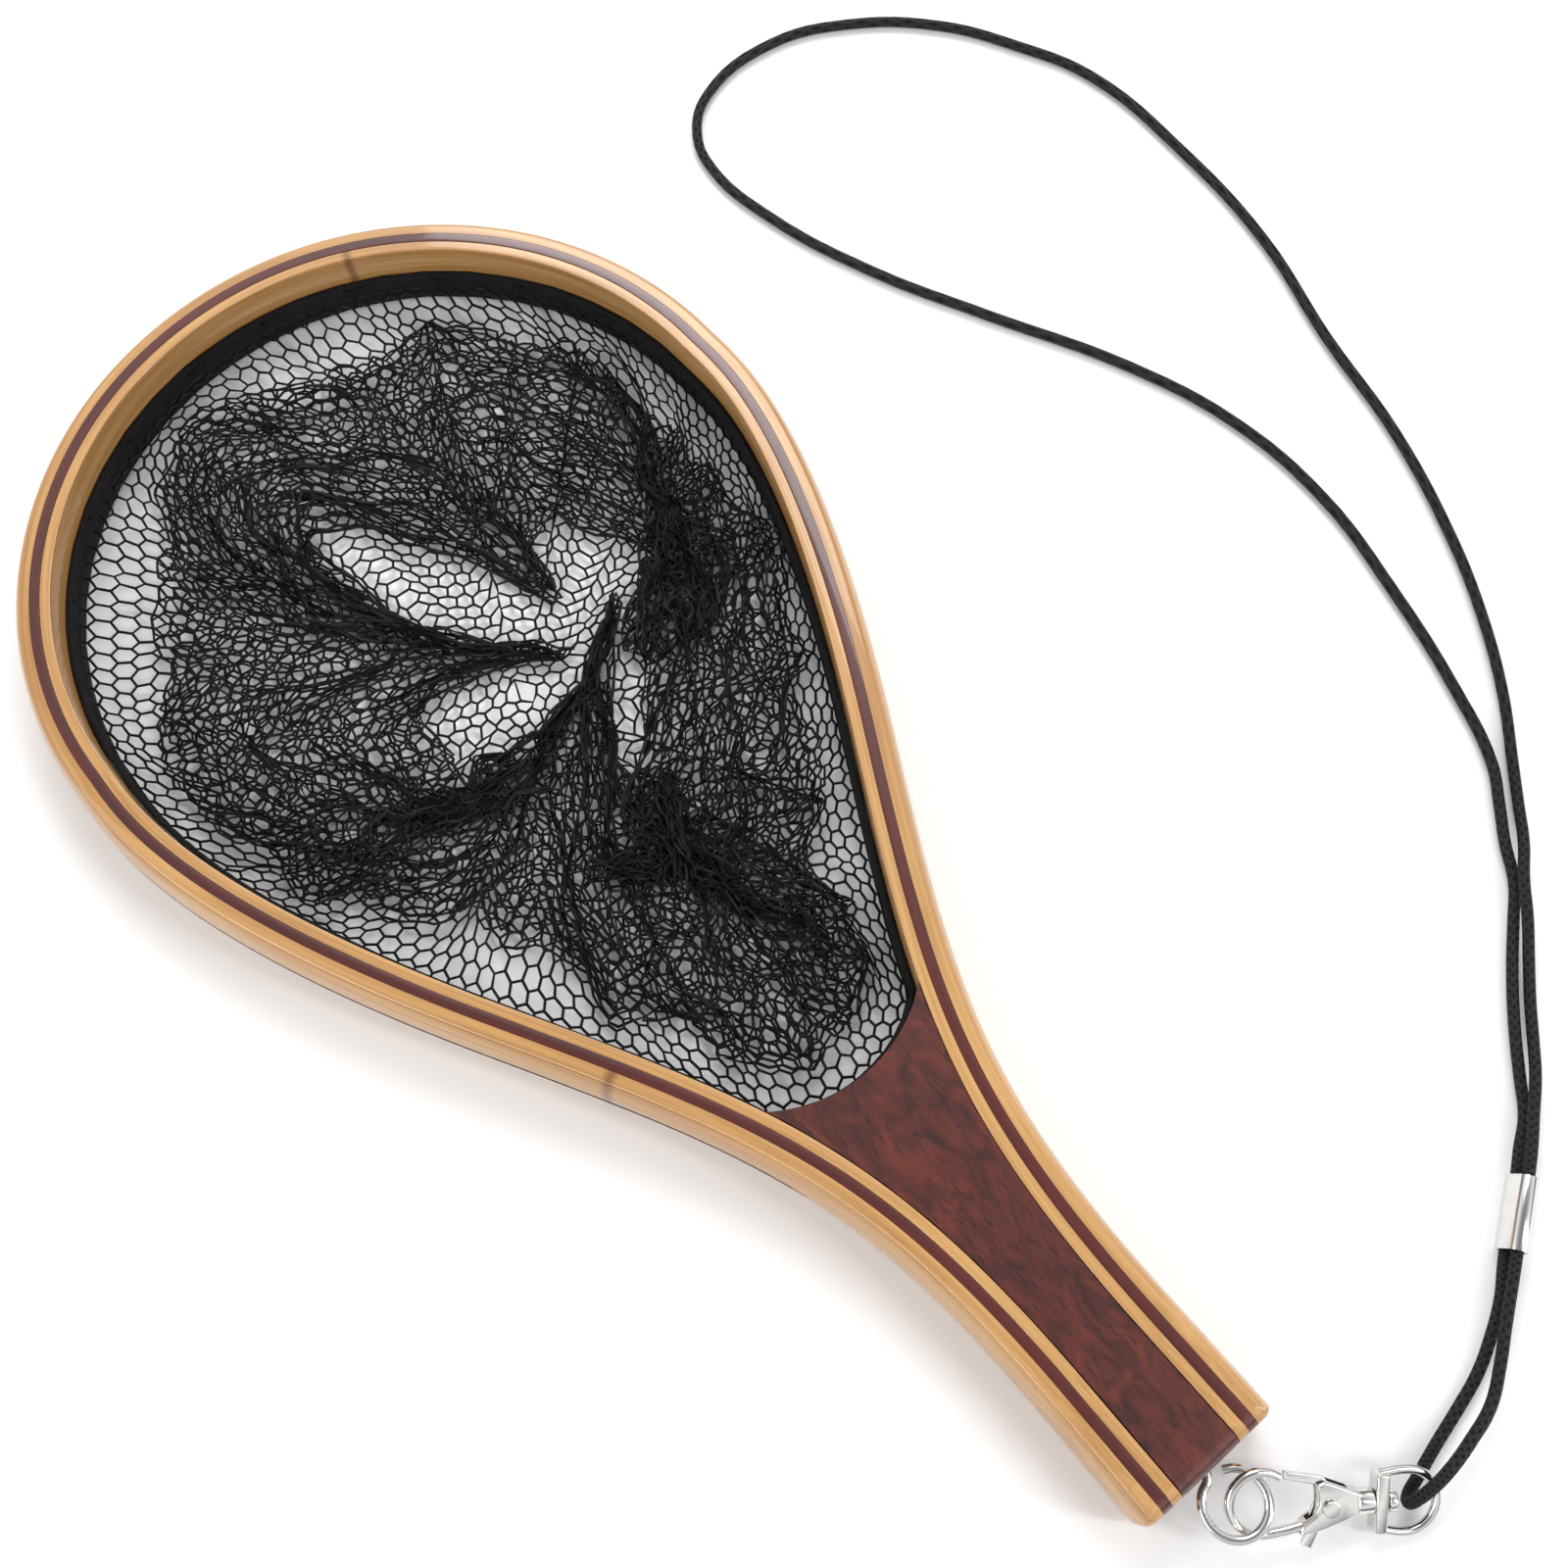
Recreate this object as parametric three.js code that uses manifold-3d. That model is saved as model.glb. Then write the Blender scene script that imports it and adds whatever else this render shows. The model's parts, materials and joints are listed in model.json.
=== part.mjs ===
// A small wooden landing net lying flat, with its snap clasp and neck lanyard.
// Millimetres, +Z up. The origin is on the underside of the handle's core, at the grip.
// +X runs along the handle towards the butt, the hoop lies towards -X, and Z = 0 is
// the surface that the net lies on.

import * as THREE from 'three';
import { mergeVertices } from 'three/addons/utils/BufferGeometryUtils.js';
import Module from 'manifold-3d';

const wasm = await Module();
wasm.setup();

// ---------------------------------------------------------------- driving sizes

const gap = 0.3; // air kept between pieces that touch
const overrun = 3; // how far a cutter runs past what it cuts
const frameDepth = 21; // height of the wooden frame

const middlePlyThickness = 2.7;
const innerPlyThickness = 2.9;
const outerPlyThickness = 5.6; // at mid-height, where its rounded back bulges most
const outerPlyFlat = 2.2; // flat that is left on its top and bottom edge

const hoopRadius = 98.8; // of the middle ply's centre line
const hoopCentreX = -241.8;
const shoulderX = -124; // where the hoop's side turns from convex to concave
const shoulderHalfWidth = 59.2;
const shoulderSlope = 0.56;
const waistX = 23; // narrowest place of the handle
const waistHalfWidth = 12.85;
const buttX = 58;
const buttHalfWidth = 13.1;
const hoopPull = 10; // how far each curve runs straight on from its ends
const shoulderPullBack = 80;
const shoulderPullOn = 61;
const waistPull = 62;

const throatX = -57; // deepest point of the core's hollow end
const throatRadius = 39;

const grooveZ = 9.8; // lashing groove in the outer ply's back
const grooveWidth = 2.6;
const grooveDepth = 1.4;
const grooveEndX = -45; // the groove runs out at the neck
const lashingEndX = -49; // the line in it stops just short of that

const stitchCount = 24;
const lastStitchX = -82; // the last stitch on each side sits before this place
const stitchRadius = 0.5;
const stitchHoleRadius = stitchRadius + gap;
const knotRadius = 1.1;
const lashingRadius = 0.6;

const hemThickness = 1.5;
const hemBottomZ = 1.5;
const hemTopZ = 11.5;
const bagBottomZ = 0.4;
const bagTopZ = 8.2;

const eyeCentreX = 67.4;
const eyeRadius = 7.45; // of the wire's centre line
const eyeWireRadius = 1.15;
const eyeZ = 10.5; // height of its wire above the surface
const shankLength = 20;

const claspAzimuth = 51; // degrees, how the clasp lies beside the butt
const claspPitch = 8;
const claspRoll = 25;
const claspReach = 5.6; // from the eye's centre to the hook's centre
const hookRadius = 7.2;
const hookWireRadius = 1.2;
const hookTipAngle = 58;
const bodyThickness = 4;
const triggerThickness = 1.4;
const rivetX = 15.5;
const rivetY = -0.6;
const rivetRadius = 1.0;
const rivetHeadRadius = 2.0;
const rivetHeadHeight = 0.7;
const collarX = 23;
const collarLength = 2.6;
const collarRadius = 2.9;
const postRadius = 1.4;
const postHeadRadius = 2.5;
const postHeadLength = 2;

const swivelPlateLength = 3;
const swivelPlateWall = 0.7; // metal left above and below the hole for the post
const swivelHalfWidth = 7.3; // of the wire's centre line
const swivelWireRadius = 1.1;
const swivelLength = 15;

const cordDiameter = 3;
const crimpLength = 18;
const crimpWall = 0.6;

// ---------------------------------------------------------------- materials

function material(color, roughness, metalness = 0) {
  return new THREE.MeshStandardMaterial({ color, roughness, metalness });
}

const paleWood = material(0xd6a962, 0.3);
const redWood = material(0x6b2118, 0.3);
const burlWood = material(0x5c1a12, 0.25);
const blackNylon = material(0x0c0c0c, 0.8);
const blackTape = material(0x101010, 0.85);
const blackCord = material(0x0a0a0a, 0.7);
const nickel = material(0xc9c8c4, 0.18, 1);
const springSteel = material(0x8f9194, 0.3, 1);

// ---------------------------------------------------------------- small helpers

const root = new THREE.Group();
root.name = 'landing_net';

function addMesh(parent, name, geometry, look) {
  const mesh = new THREE.Mesh(geometry, look);
  mesh.name = name;
  parent.add(mesh);
  return mesh;
}

function toSolid(geometry) {
  const bare = geometry.clone();
  bare.deleteAttribute('normal');
  bare.deleteAttribute('uv');
  const merged = mergeVertices(bare, 1e-4);
  const vertProperties = Float32Array.from(merged.attributes.position.array);
  const triVerts = Uint32Array.from(merged.index.array);
  return new wasm.Manifold(new wasm.Mesh({ numProp: 3, vertProperties, triVerts }));
}

function toGeometry(solid) {
  const mesh = solid.getMesh();
  const geometry = new THREE.BufferGeometry();
  geometry.setAttribute('position', new THREE.BufferAttribute(mesh.vertProperties, 3));
  geometry.setIndex(new THREE.BufferAttribute(mesh.triVerts, 1));
  geometry.computeVertexNormals();
  return geometry;
}

function subtractAll(geometry, cutters) {
  return toGeometry(cutters.reduce((solid, cutter) => solid.subtract(toSolid(cutter)), toSolid(geometry)));
}

function joinAll(geometries) {
  return toGeometry(geometries.map(toSolid).reduce((all, one) => all.add(one)));
}

function shapeFrom(points) {
  return new THREE.Shape(points.map(([x, y]) => new THREE.Vector2(x, y)));
}

function plate(shape, bottomZ, topZ) {
  const geometry = new THREE.ExtrudeGeometry(shape, { depth: topZ - bottomZ, bevelEnabled: false });
  geometry.translate(0, 0, bottomZ);
  return geometry;
}

function circleShape(radius, sides) {
  const points = [];
  for (let i = 0; i < sides; i += 1) {
    const angle = (2 * Math.PI * (i + 0.5)) / sides;
    points.push([radius * Math.cos(angle), radius * Math.sin(angle)]);
  }
  return shapeFrom(points);
}

function tube(curve, radius, steps, sides = 8) {
  return new THREE.ExtrudeGeometry(circleShape(radius, sides), { steps, extrudePath: curve });
}

// A round bar between two points.
function bar(from, to, radius, sides = 8) {
  return tube(new THREE.LineCurve3(from, to), radius, 1, sides);
}

function rad(degrees) {
  return THREE.MathUtils.degToRad(degrees);
}

// ---------------------------------------------------------------- the frame's line

// One half of the middle ply's centre line, from the hoop's far end to the butt:
// a quarter circle, a full side, a hollow neck and the straight grip.
function halfLine() {
  const widest = new THREE.Vector2(hoopCentreX, hoopRadius);
  const shoulder = new THREE.Vector2(shoulderX, shoulderHalfWidth);
  const waist = new THREE.Vector2(waistX, waistHalfWidth);
  const butt = new THREE.Vector2(buttX, buttHalfWidth);
  const along = (point, dx, slope) => new THREE.Vector2(point.x + dx, point.y - slope * dx);
  const half = new THREE.CurvePath();
  half.add(new THREE.EllipseCurve(hoopCentreX, 0, hoopRadius, hoopRadius, Math.PI, Math.PI / 2, true));
  half.add(new THREE.CubicBezierCurve(
    widest, along(widest, hoopPull, 0), along(shoulder, -shoulderPullBack, shoulderSlope), shoulder));
  half.add(new THREE.CubicBezierCurve(
    shoulder, along(shoulder, shoulderPullOn, shoulderSlope), along(waist, -waistPull, 0), waist));
  half.add(new THREE.LineCurve(waist, butt));
  return half;
}

// The whole centre line as a space curve, from the butt on the -Y side round the
// hoop to the butt on the +Y side. reach sets how much of it is used, 1 being all.
class FrameLine extends THREE.Curve {
  constructor(reach = 1) {
    super();
    this.half = halfLine();
    this.reach = reach;
  }

  getPoint(t) {
    const s = (2 * t - 1) * this.reach;
    const point = this.half.getPointAt(Math.abs(s));
    return new THREE.Vector3(point.x, Math.sign(s) * point.y, 0);
  }
}

// Points of the +Y half, each moved sideways by offset (outwards when positive).
function halfOffset(offset, steps) {
  const half = halfLine();
  const points = [];
  for (let i = 0; i <= steps; i += 1) {
    const point = half.getPointAt(i / steps);
    const tangent = half.getTangentAt(i / steps);
    points.push([point.x - tangent.y * offset, point.y + tangent.x * offset]);
  }
  points[0][1] = 0; // the far end lies on the axis
  return points;
}

const plySteps = 72;
const outlineSteps = 36;

// How far along the half line a given x of the neck lies, as a share of its length.
function reachAtX(x) {
  const half = halfLine();
  let low = 0.3;
  let high = 1;
  for (let i = 0; i < 40; i += 1) {
    const middle = (low + high) / 2;
    if (half.getPointAt(middle).x < x) low = middle;
    else high = middle;
  }
  return low;
}

// A profile in (offset outwards, height) is carried along the frame's line.
function sweepProfile(profile, reach = 1, steps = plySteps) {
  const line = new FrameLine(reach);
  const frames = line.computeFrenetFrames(2, false);
  // The extruder lays a shape's x along its normal and y along its binormal.
  const outward = new THREE.Vector3(-frames.tangents[1].y, frames.tangents[1].x, 0);
  const normalIsFlat = Math.abs(frames.normals[1].z) < 0.5;
  const sideways = normalIsFlat ? frames.normals[1] : frames.binormals[1];
  const upright = normalIsFlat ? frames.binormals[1] : frames.normals[1];
  const sideSign = Math.sign(sideways.dot(outward));
  const upSign = Math.sign(upright.z);
  const place = ([offset, height]) => (normalIsFlat
    ? [offset * sideSign, height * upSign]
    : [height * upSign, offset * sideSign]);
  return new THREE.ExtrudeGeometry(shapeFrom(profile.map(place)), { steps, extrudePath: line });
}

// ---------------------------------------------------------------- the wooden frame

const middleHalf = middlePlyThickness / 2;
const innerFace = middleHalf + innerPlyThickness; // of the inner ply, measured inwards
const outerBack = middleHalf + outerPlyThickness;
const glue = gap / 2;

// The outer ply's section: flat edges above and below, a rounded back between them.
function outerPlyProfile() {
  const flatEnd = middleHalf + outerPlyFlat;
  const bulge = outerBack - flatEnd;
  const middle = frameDepth / 2;
  const profile = [[middleHalf + glue, 0]];
  for (let i = 0; i <= 8; i += 1) {
    const angle = -Math.PI / 2 + (Math.PI * i) / 8;
    profile.push([flatEnd + bulge * Math.cos(angle), middle + middle * Math.sin(angle)]);
  }
  profile.push([middleHalf + glue, frameDepth]);
  return profile;
}

function blockProfile(from, to, bottomZ, topZ) {
  return [[from, bottomZ], [to, bottomZ], [to, topZ], [from, topZ]];
}

// Where the stitches go through the frame: a place on the line and its way outwards.
function stitchPlaces() {
  const line = new FrameLine(reachAtX(lastStitchX));
  const places = [];
  for (let i = 0; i < stitchCount; i += 1) {
    const t = (i + 0.5) / stitchCount;
    const tangent = line.getTangentAt(t);
    places.push({ point: line.getPointAt(t), outward: new THREE.Vector3(-tangent.y, tangent.x, 0) });
  }
  return places;
}

// In the part's frame: the point at a distance outwards from a stitch place.
function stitchPoint({ point, outward }, distance) {
  return point.clone().addScaledVector(outward, distance).setZ(grooveZ);
}

function stitchBars(from, to, radius) {
  return stitchPlaces().map((place) => bar(stitchPoint(place, from), stitchPoint(place, to), radius, 6));
}

function buildPlies() {
  const holes = stitchBars(-innerFace - hemThickness - overrun, outerBack + overrun, stitchHoleRadius);
  const groove = sweepProfile(blockProfile(
    outerBack - grooveDepth, outerBack + overrun, grooveZ - grooveWidth / 2, grooveZ + grooveWidth / 2,
  ), reachAtX(grooveEndX));
  const outer = sweepProfile(outerPlyProfile());
  const middle = sweepProfile(blockProfile(glue - middleHalf, middleHalf - glue, 0, frameDepth));
  const inner = sweepProfile(blockProfile(-innerFace, -middleHalf - glue, 0, frameDepth));
  addMesh(root, 'outer_ply', subtractAll(outer, [groove, ...holes]), paleWood);
  addMesh(root, 'middle_ply', subtractAll(middle, holes), redWood);
  addMesh(root, 'inner_ply', subtractAll(inner, holes), paleWood);
  return holes;
}

// ---------------------------------------------------------------- the mouth and the core

const throatCentreX = throatX - throatRadius;

// The +Y half of a line that follows the inner ply at a distance inside it, split
// where it meets the throat's arc.
function splitAtThroat(inset, arcRadius) {
  const line = halfOffset(-innerFace - inset, outlineSteps);
  const outside = ([x, y]) => x > throatCentreX && Math.hypot(x - throatCentreX, y) > arcRadius;
  const first = line.findIndex(outside);
  let [inX, inY] = line[first - 1];
  let [outX, outY] = line[first];
  for (let i = 0; i < 30; i += 1) {
    const middle = [(inX + outX) / 2, (inY + outY) / 2];
    if (outside(middle)) [outX, outY] = middle;
    else [inX, inY] = middle;
  }
  return { before: line.slice(0, first), corner: [inX, inY], after: line.slice(first) };
}

function throatArc([cornerX, cornerY], arcRadius, steps) {
  const start = Math.atan2(cornerY, cornerX - throatCentreX);
  const points = [];
  for (let i = 1; i <= steps; i += 1) {
    const angle = start * (1 - i / steps);
    points.push([throatCentreX + arcRadius * Math.cos(angle), arcRadius * Math.sin(angle)]);
  }
  return points;
}

// Mirrors the +Y half of an outline whose first and last points may lie on the axis.
function mirrored(half) {
  const offAxis = half.filter(([, y]) => Math.abs(y) > 1e-6).reverse();
  return [...half, ...offAxis.map(([x, y]) => [x, -y])];
}

// The outline inside the hoop, at a distance in from the wood all round.
function mouthOutline(inset) {
  const arcRadius = throatRadius - inset;
  const { before, corner } = splitAtThroat(inset, arcRadius);
  return mirrored([...before, corner, ...throatArc(corner, arcRadius, 6)]);
}

function coreOutline() {
  const { corner, after } = splitAtThroat(gap, throatRadius);
  const arc = throatArc(corner, throatRadius, 8).reverse();
  return mirrored([...arc, corner, ...after]);
}

function buildCore() {
  const shankBore = bar(
    new THREE.Vector3(buttX - shankLength - gap, 0, eyeZ),
    new THREE.Vector3(buttX + overrun, 0, eyeZ),
    eyeWireRadius + gap,
  );
  const block = plate(shapeFrom(coreOutline()), 0, frameDepth);
  addMesh(root, 'handle_core', subtractAll(block, [shankBore]), burlWood);
}

// ---------------------------------------------------------------- the net and its lashing

function buildNet(stitchHoles) {
  const hemBlock = plate(shapeFrom(mouthOutline(gap)), hemBottomZ, hemTopZ);
  const hollowShape = shapeFrom(mouthOutline(gap + hemThickness));
  const hemHollow = plate(hollowShape, hemBottomZ - overrun, hemTopZ + overrun);
  addMesh(root, 'net_hem', subtractAll(hemBlock, [hemHollow, ...stitchHoles]), blackTape);
  const bagShape = shapeFrom(mouthOutline(gap + hemThickness + gap));
  addMesh(root, 'net_bag', plate(bagShape, bagBottomZ, bagTopZ), blackNylon);
}

function buildLashing() {
  const cordOffset = outerBack - grooveDepth + gap + lashingRadius;
  const section = [];
  for (let i = 0; i < 6; i += 1) {
    const angle = (Math.PI * (i + 0.5)) / 3;
    section.push([cordOffset + lashingRadius * Math.cos(angle), grooveZ + lashingRadius * Math.sin(angle)]);
  }
  const groundLine = sweepProfile(section, reachAtX(lashingEndX));
  const knotOffset = -innerFace - gap - hemThickness - gap - knotRadius;
  const knots = stitchPlaces().map((place) => {
    const knot = new THREE.SphereGeometry(knotRadius, 6, 4);
    const centre = stitchPoint(place, knotOffset);
    return knot.translate(centre.x, centre.y, centre.z);
  });
  const stitches = stitchBars(knotOffset, cordOffset, stitchRadius);
  addMesh(root, 'lashing_cord', joinAll([groundLine, ...stitches, ...knots]), blackCord);
}

// ---------------------------------------------------------------- the screw eye

function buildScrewEye() {
  const ringPoint = (degrees) => new THREE.Vector3(
    eyeCentreX + eyeRadius * Math.cos(rad(degrees)), eyeRadius * Math.sin(rad(degrees)), eyeZ);
  const points = [
    new THREE.Vector3(buttX - shankLength, 0, eyeZ),
    new THREE.Vector3(buttX - 4, 0, eyeZ),
    new THREE.Vector3(buttX + 0.4, -0.2, eyeZ),
    new THREE.Vector3(buttX + 2.1, -1.5, eyeZ),
  ];
  for (let degrees = 210; degrees <= 518; degrees += 22) points.push(ringPoint(degrees));
  const curve = new THREE.CatmullRomCurve3(points, false, 'centripetal');
  addMesh(root, 'screw_eye', tube(curve, eyeWireRadius, 44), nickel);
}

// ---------------------------------------------------------------- the snap clasp

// The clasp's own frame: X from the hook's centre towards the swivel, Y towards the
// gate, Z through the rivet.
const clasp = new THREE.Group();
clasp.rotation.set(rad(claspRoll), rad(claspPitch), rad(claspAzimuth), 'ZYX');
clasp.position.set(
  eyeCentreX + claspReach * Math.cos(rad(claspAzimuth)),
  claspReach * Math.sin(rad(claspAzimuth)),
  eyeZ - claspReach / 2 * Math.sin(rad(claspPitch)),
);
root.add(clasp);

const swivel = new THREE.Group();
clasp.add(swivel);

const slotStartX = 10.4;
const slotEndX = 19.6;
const slotWidth = triggerThickness + 2 * gap;

function cylinderAlongX(fromX, toX, radius, sides = 16) {
  const cylinder = new THREE.CylinderGeometry(radius, radius, toX - fromX, sides);
  return cylinder.rotateZ(Math.PI / 2).translate((fromX + toX) / 2, 0, 0);
}

function cylinderAlongZ(x, y, fromZ, toZ, radius, sides = 16) {
  const cylinder = new THREE.CylinderGeometry(radius, radius, toZ - fromZ, sides);
  return cylinder.rotateX(Math.PI / 2).translate(x, y, (fromZ + toZ) / 2);
}

function hookCurve() {
  const points = [];
  for (let degrees = hookTipAngle; degrees <= 262; degrees += 17) {
    const angle = rad(degrees);
    points.push(new THREE.Vector3(hookRadius * Math.cos(angle), hookRadius * Math.sin(angle), 0));
  }
  points.push(new THREE.Vector3(4.6, -6.6, 0));
  points.push(new THREE.Vector3(9.4, -5.4, 0));
  points.push(new THREE.Vector3(11.4, -4.8, 0));
  return new THREE.CatmullRomCurve3(points, false, 'centripetal');
}

function buildClaspBody() {
  const cheeks = shapeFrom([
    [8.8, -6.9], [14, -5.7], [19, -3.7], [collarX, -2.4],
    [collarX, 2.4], [19, 3.8], [14.5, 5.4], [12.2, 4.6],
    [12.7, 2.4], [12.9, 0], [12.1, -2.4], [9.6, -4.1],
  ]);
  const block = plate(cheeks, -bodyThickness / 2, bodyThickness / 2);
  const collar = cylinderAlongX(collarX - 1, collarX + collarLength, collarRadius);
  const slot = new THREE.BoxGeometry(slotEndX - slotStartX, 20, slotWidth);
  slot.translate((slotStartX + slotEndX) / 2, 0, 0);
  const rivetHole = cylinderAlongZ(rivetX, rivetY, -bodyThickness, bodyThickness, rivetRadius + gap, 12);
  const postHole = cylinderAlongX(collarX - 0.4, collarX + collarLength + 1, postRadius + gap, 12);
  const solid = joinAll([block, collar, tube(hookCurve(), hookWireRadius, 30)]);
  addMesh(clasp, 'clasp_body', subtractAll(solid, [slot, rivetHole, postHole]), nickel);
}

// A flat lever: the gate bar closes the hook, the boss turns on the rivet, and the
// tab stands out on the other side for the thumb.
function buildTrigger() {
  const outline = shapeFrom([
    [4.9, 5.6], [12.6, 4.3], [13.0, 1.4], [12.8, -1.4], [11.5, -5.2], [9.7, -9.4], [11.9, -10.4],
    [14.0, -5.4], [16.2, -3.0], [17.7, -1.6], [17.9, 0.3], [17.0, 1.6], [15.4, 4.6], [13.8, 6.2], [4.9, 7.5],
  ]);
  const lever = plate(outline, -triggerThickness / 2, triggerThickness / 2);
  const hole = cylinderAlongZ(rivetX, rivetY, -bodyThickness, bodyThickness, rivetRadius + gap, 12);
  addMesh(clasp, 'clasp_trigger', subtractAll(lever, [hole]), nickel);
}

function buildRivet() {
  const side = bodyThickness / 2 + gap;
  const pin = cylinderAlongZ(rivetX, rivetY, -side - 0.3, side + 0.3, rivetRadius, 12);
  const heads = [-1, 1].map((sign) => {
    const from = Math.min(sign * side, sign * (side + rivetHeadHeight));
    return cylinderAlongZ(rivetX, rivetY, from, from + rivetHeadHeight, rivetHeadRadius, 12);
  });
  addMesh(clasp, 'trigger_rivet', joinAll([pin, ...heads]), nickel);
}

function buildTriggerSpring() {
  const leaf = new THREE.BoxGeometry(0.5, 3.4, 1.2);
  leaf.translate(slotEndX - gap - 0.25, rivetY, 0);
  addMesh(clasp, 'trigger_spring', leaf, springSteel);
}

function buildSwivelRivet() {
  const plateEnd = collarX + collarLength + gap + swivelPlateLength;
  const post = cylinderAlongX(collarX, plateEnd + gap + 0.5, postRadius, 12);
  const head = cylinderAlongX(plateEnd + gap, plateEnd + gap + postHeadLength, postHeadRadius, 12);
  addMesh(clasp, 'swivel_rivet', joinAll([post, head]), nickel);
}

// The D-shaped eye: a thick end plate that turns on the post, and a bow of wire.
function buildSwivelEye() {
  const plateStart = collarX + collarLength + gap;
  const plateMiddle = plateStart + swivelPlateLength / 2;
  const plateDepth = 2 * (postRadius + gap + swivelPlateWall);
  const bowCentreX = plateStart + swivelLength - swivelHalfWidth;
  const plateBox = new THREE.BoxGeometry(swivelPlateLength, 2 * swivelHalfWidth - 0.8, plateDepth);
  plateBox.translate(plateMiddle, 0, 0);
  const points = [new THREE.Vector3(plateMiddle, swivelHalfWidth - 0.8, 0)];
  for (let degrees = 90; degrees >= -90; degrees -= 22.5) {
    points.push(new THREE.Vector3(
      bowCentreX + swivelHalfWidth * Math.cos(rad(degrees)), swivelHalfWidth * Math.sin(rad(degrees)), 0));
  }
  points.push(new THREE.Vector3(plateMiddle, 0.8 - swivelHalfWidth, 0));
  const bow = tube(new THREE.CatmullRomCurve3(points, false, 'centripetal'), swivelWireRadius, 26);
  const hole = cylinderAlongX(plateStart - 1, plateStart + swivelPlateLength + 1, postRadius + gap, 12);
  addMesh(swivel, 'swivel_eye', subtractAll(joinAll([plateBox, bow]), [hole]), nickel);
}

// ---------------------------------------------------------------- the lanyard

// Routes of the cord's centre line. The hitch is the bight through the swivel eye;
// the two strands run side by side out of the crimp; the loop lies flat beyond them.
const hitchRoute = [
  [66.7, 97.1, 5.6], [71.6, 89.8, 5.6], [75.2, 84.4, 5.5], [80.8, 75.9, 5.3], [86.3, 67.6, 5.4],
  [90.4, 59.5, 6.6], [92.2, 50.0, 8.6], [93.1, 41.5, 10.0], [93.3, 36.5, 9.6], [93.2, 32.4, 7.8],
  [92.8, 30.4, 5.4], [91.9, 32.0, 3.5], [91.0, 36.0, 2.8], [90.0, 40.5, 2.2], [88.9, 45.5, 1.8],
  [87.1, 54.0, 1.7], [84.7, 63.6, 1.7], [81.2, 72.0, 1.7], [76.6, 80.5, 1.7], [72.7, 85.4, 2.2],
  [70.1, 88.8, 2.6], [65.3, 96.2, 2.6],
];
const rightStrandRoute = [
  [66.5, 97.4, 5.6], [61.7, 104.8, 5.6], [57.5, 110.8, 5.5], [52.5, 117.2, 5.2], [46.8, 124.6, 4.6],
  [40.5, 131.9, 2.6], [33.4, 139.0, 2.2], [26.4, 146.0, 3.0], [18.9, 153.1, 4.8], [11.3, 160.1, 5.1],
  [4.8, 168.3, 3.2], [-3.0, 175.8, 1.7], [-11.0, 182.8, 1.6],
];
const leftStrandRoute = [
  [65.1, 96.5, 2.6], [60.2, 103.8, 2.6], [56.2, 109.6, 2.1], [51.8, 116.5, 1.6], [44.8, 122.8, 1.6],
  [37.6, 129.3, 1.6], [30.6, 136.2, 1.6], [23.8, 143.6, 1.6], [17.2, 151.4, 1.6], [10.4, 159.2, 1.6],
  [1.8, 165.4, 1.6], [-6.0, 172.0, 1.6], [-14.5, 178.9, 1.6],
];
const loopRoute = [
  [-11.3, 183.0, 1.6], [-27.6, 197.0, 1.6], [-46.2, 209.5, 1.6], [-66.2, 220.1, 1.6], [-98.6, 232.8, 1.6],
  [-133.0, 241.3, 1.6], [-168.8, 252.1, 1.6], [-206.7, 256.7, 1.6], [-245.5, 255.8, 1.6],
  [-268.8, 246.9, 1.6], [-290.2, 234.6, 1.6], [-309.6, 213.8, 1.6], [-319.6, 191.6, 1.6],
  [-317.7, 164.2, 1.6], [-308.6, 152.6, 1.6], [-295.3, 147.6, 1.6], [-270.4, 149.3, 1.6],
  [-235.8, 159.4, 1.6], [-204.0, 173.6, 1.6], [-163.0, 192.8, 1.6], [-130.8, 202.0, 1.6],
  [-98.0, 203.1, 1.6], [-65.9, 196.6, 1.6], [-35.4, 187.6, 1.6], [-14.9, 179.1, 1.6],
];
const crimpBottom = new THREE.Vector3(70.85, 89.3, 4.1);
const crimpTop = new THREE.Vector3(60.95, 104.3, 4.1);
const crimpRoll = 60; // degrees that its two bores are turned from lying flat

function cordTube(name, route, steps) {
  const points = route.map(([x, y, z]) => new THREE.Vector3(x, y, z));
  const curve = new THREE.CatmullRomCurve3(points, false, 'centripetal');
  addMesh(root, name, tube(curve, cordDiameter / 2, steps), blackCord);
}

function ovalPath(halfLength, halfHeight, target) {
  const straight = halfLength - halfHeight;
  target.absarc(straight, 0, halfHeight, -Math.PI / 2, Math.PI / 2, false);
  target.absarc(-straight, 0, halfHeight, Math.PI / 2, 1.5 * Math.PI, false);
  return target;
}

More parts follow.
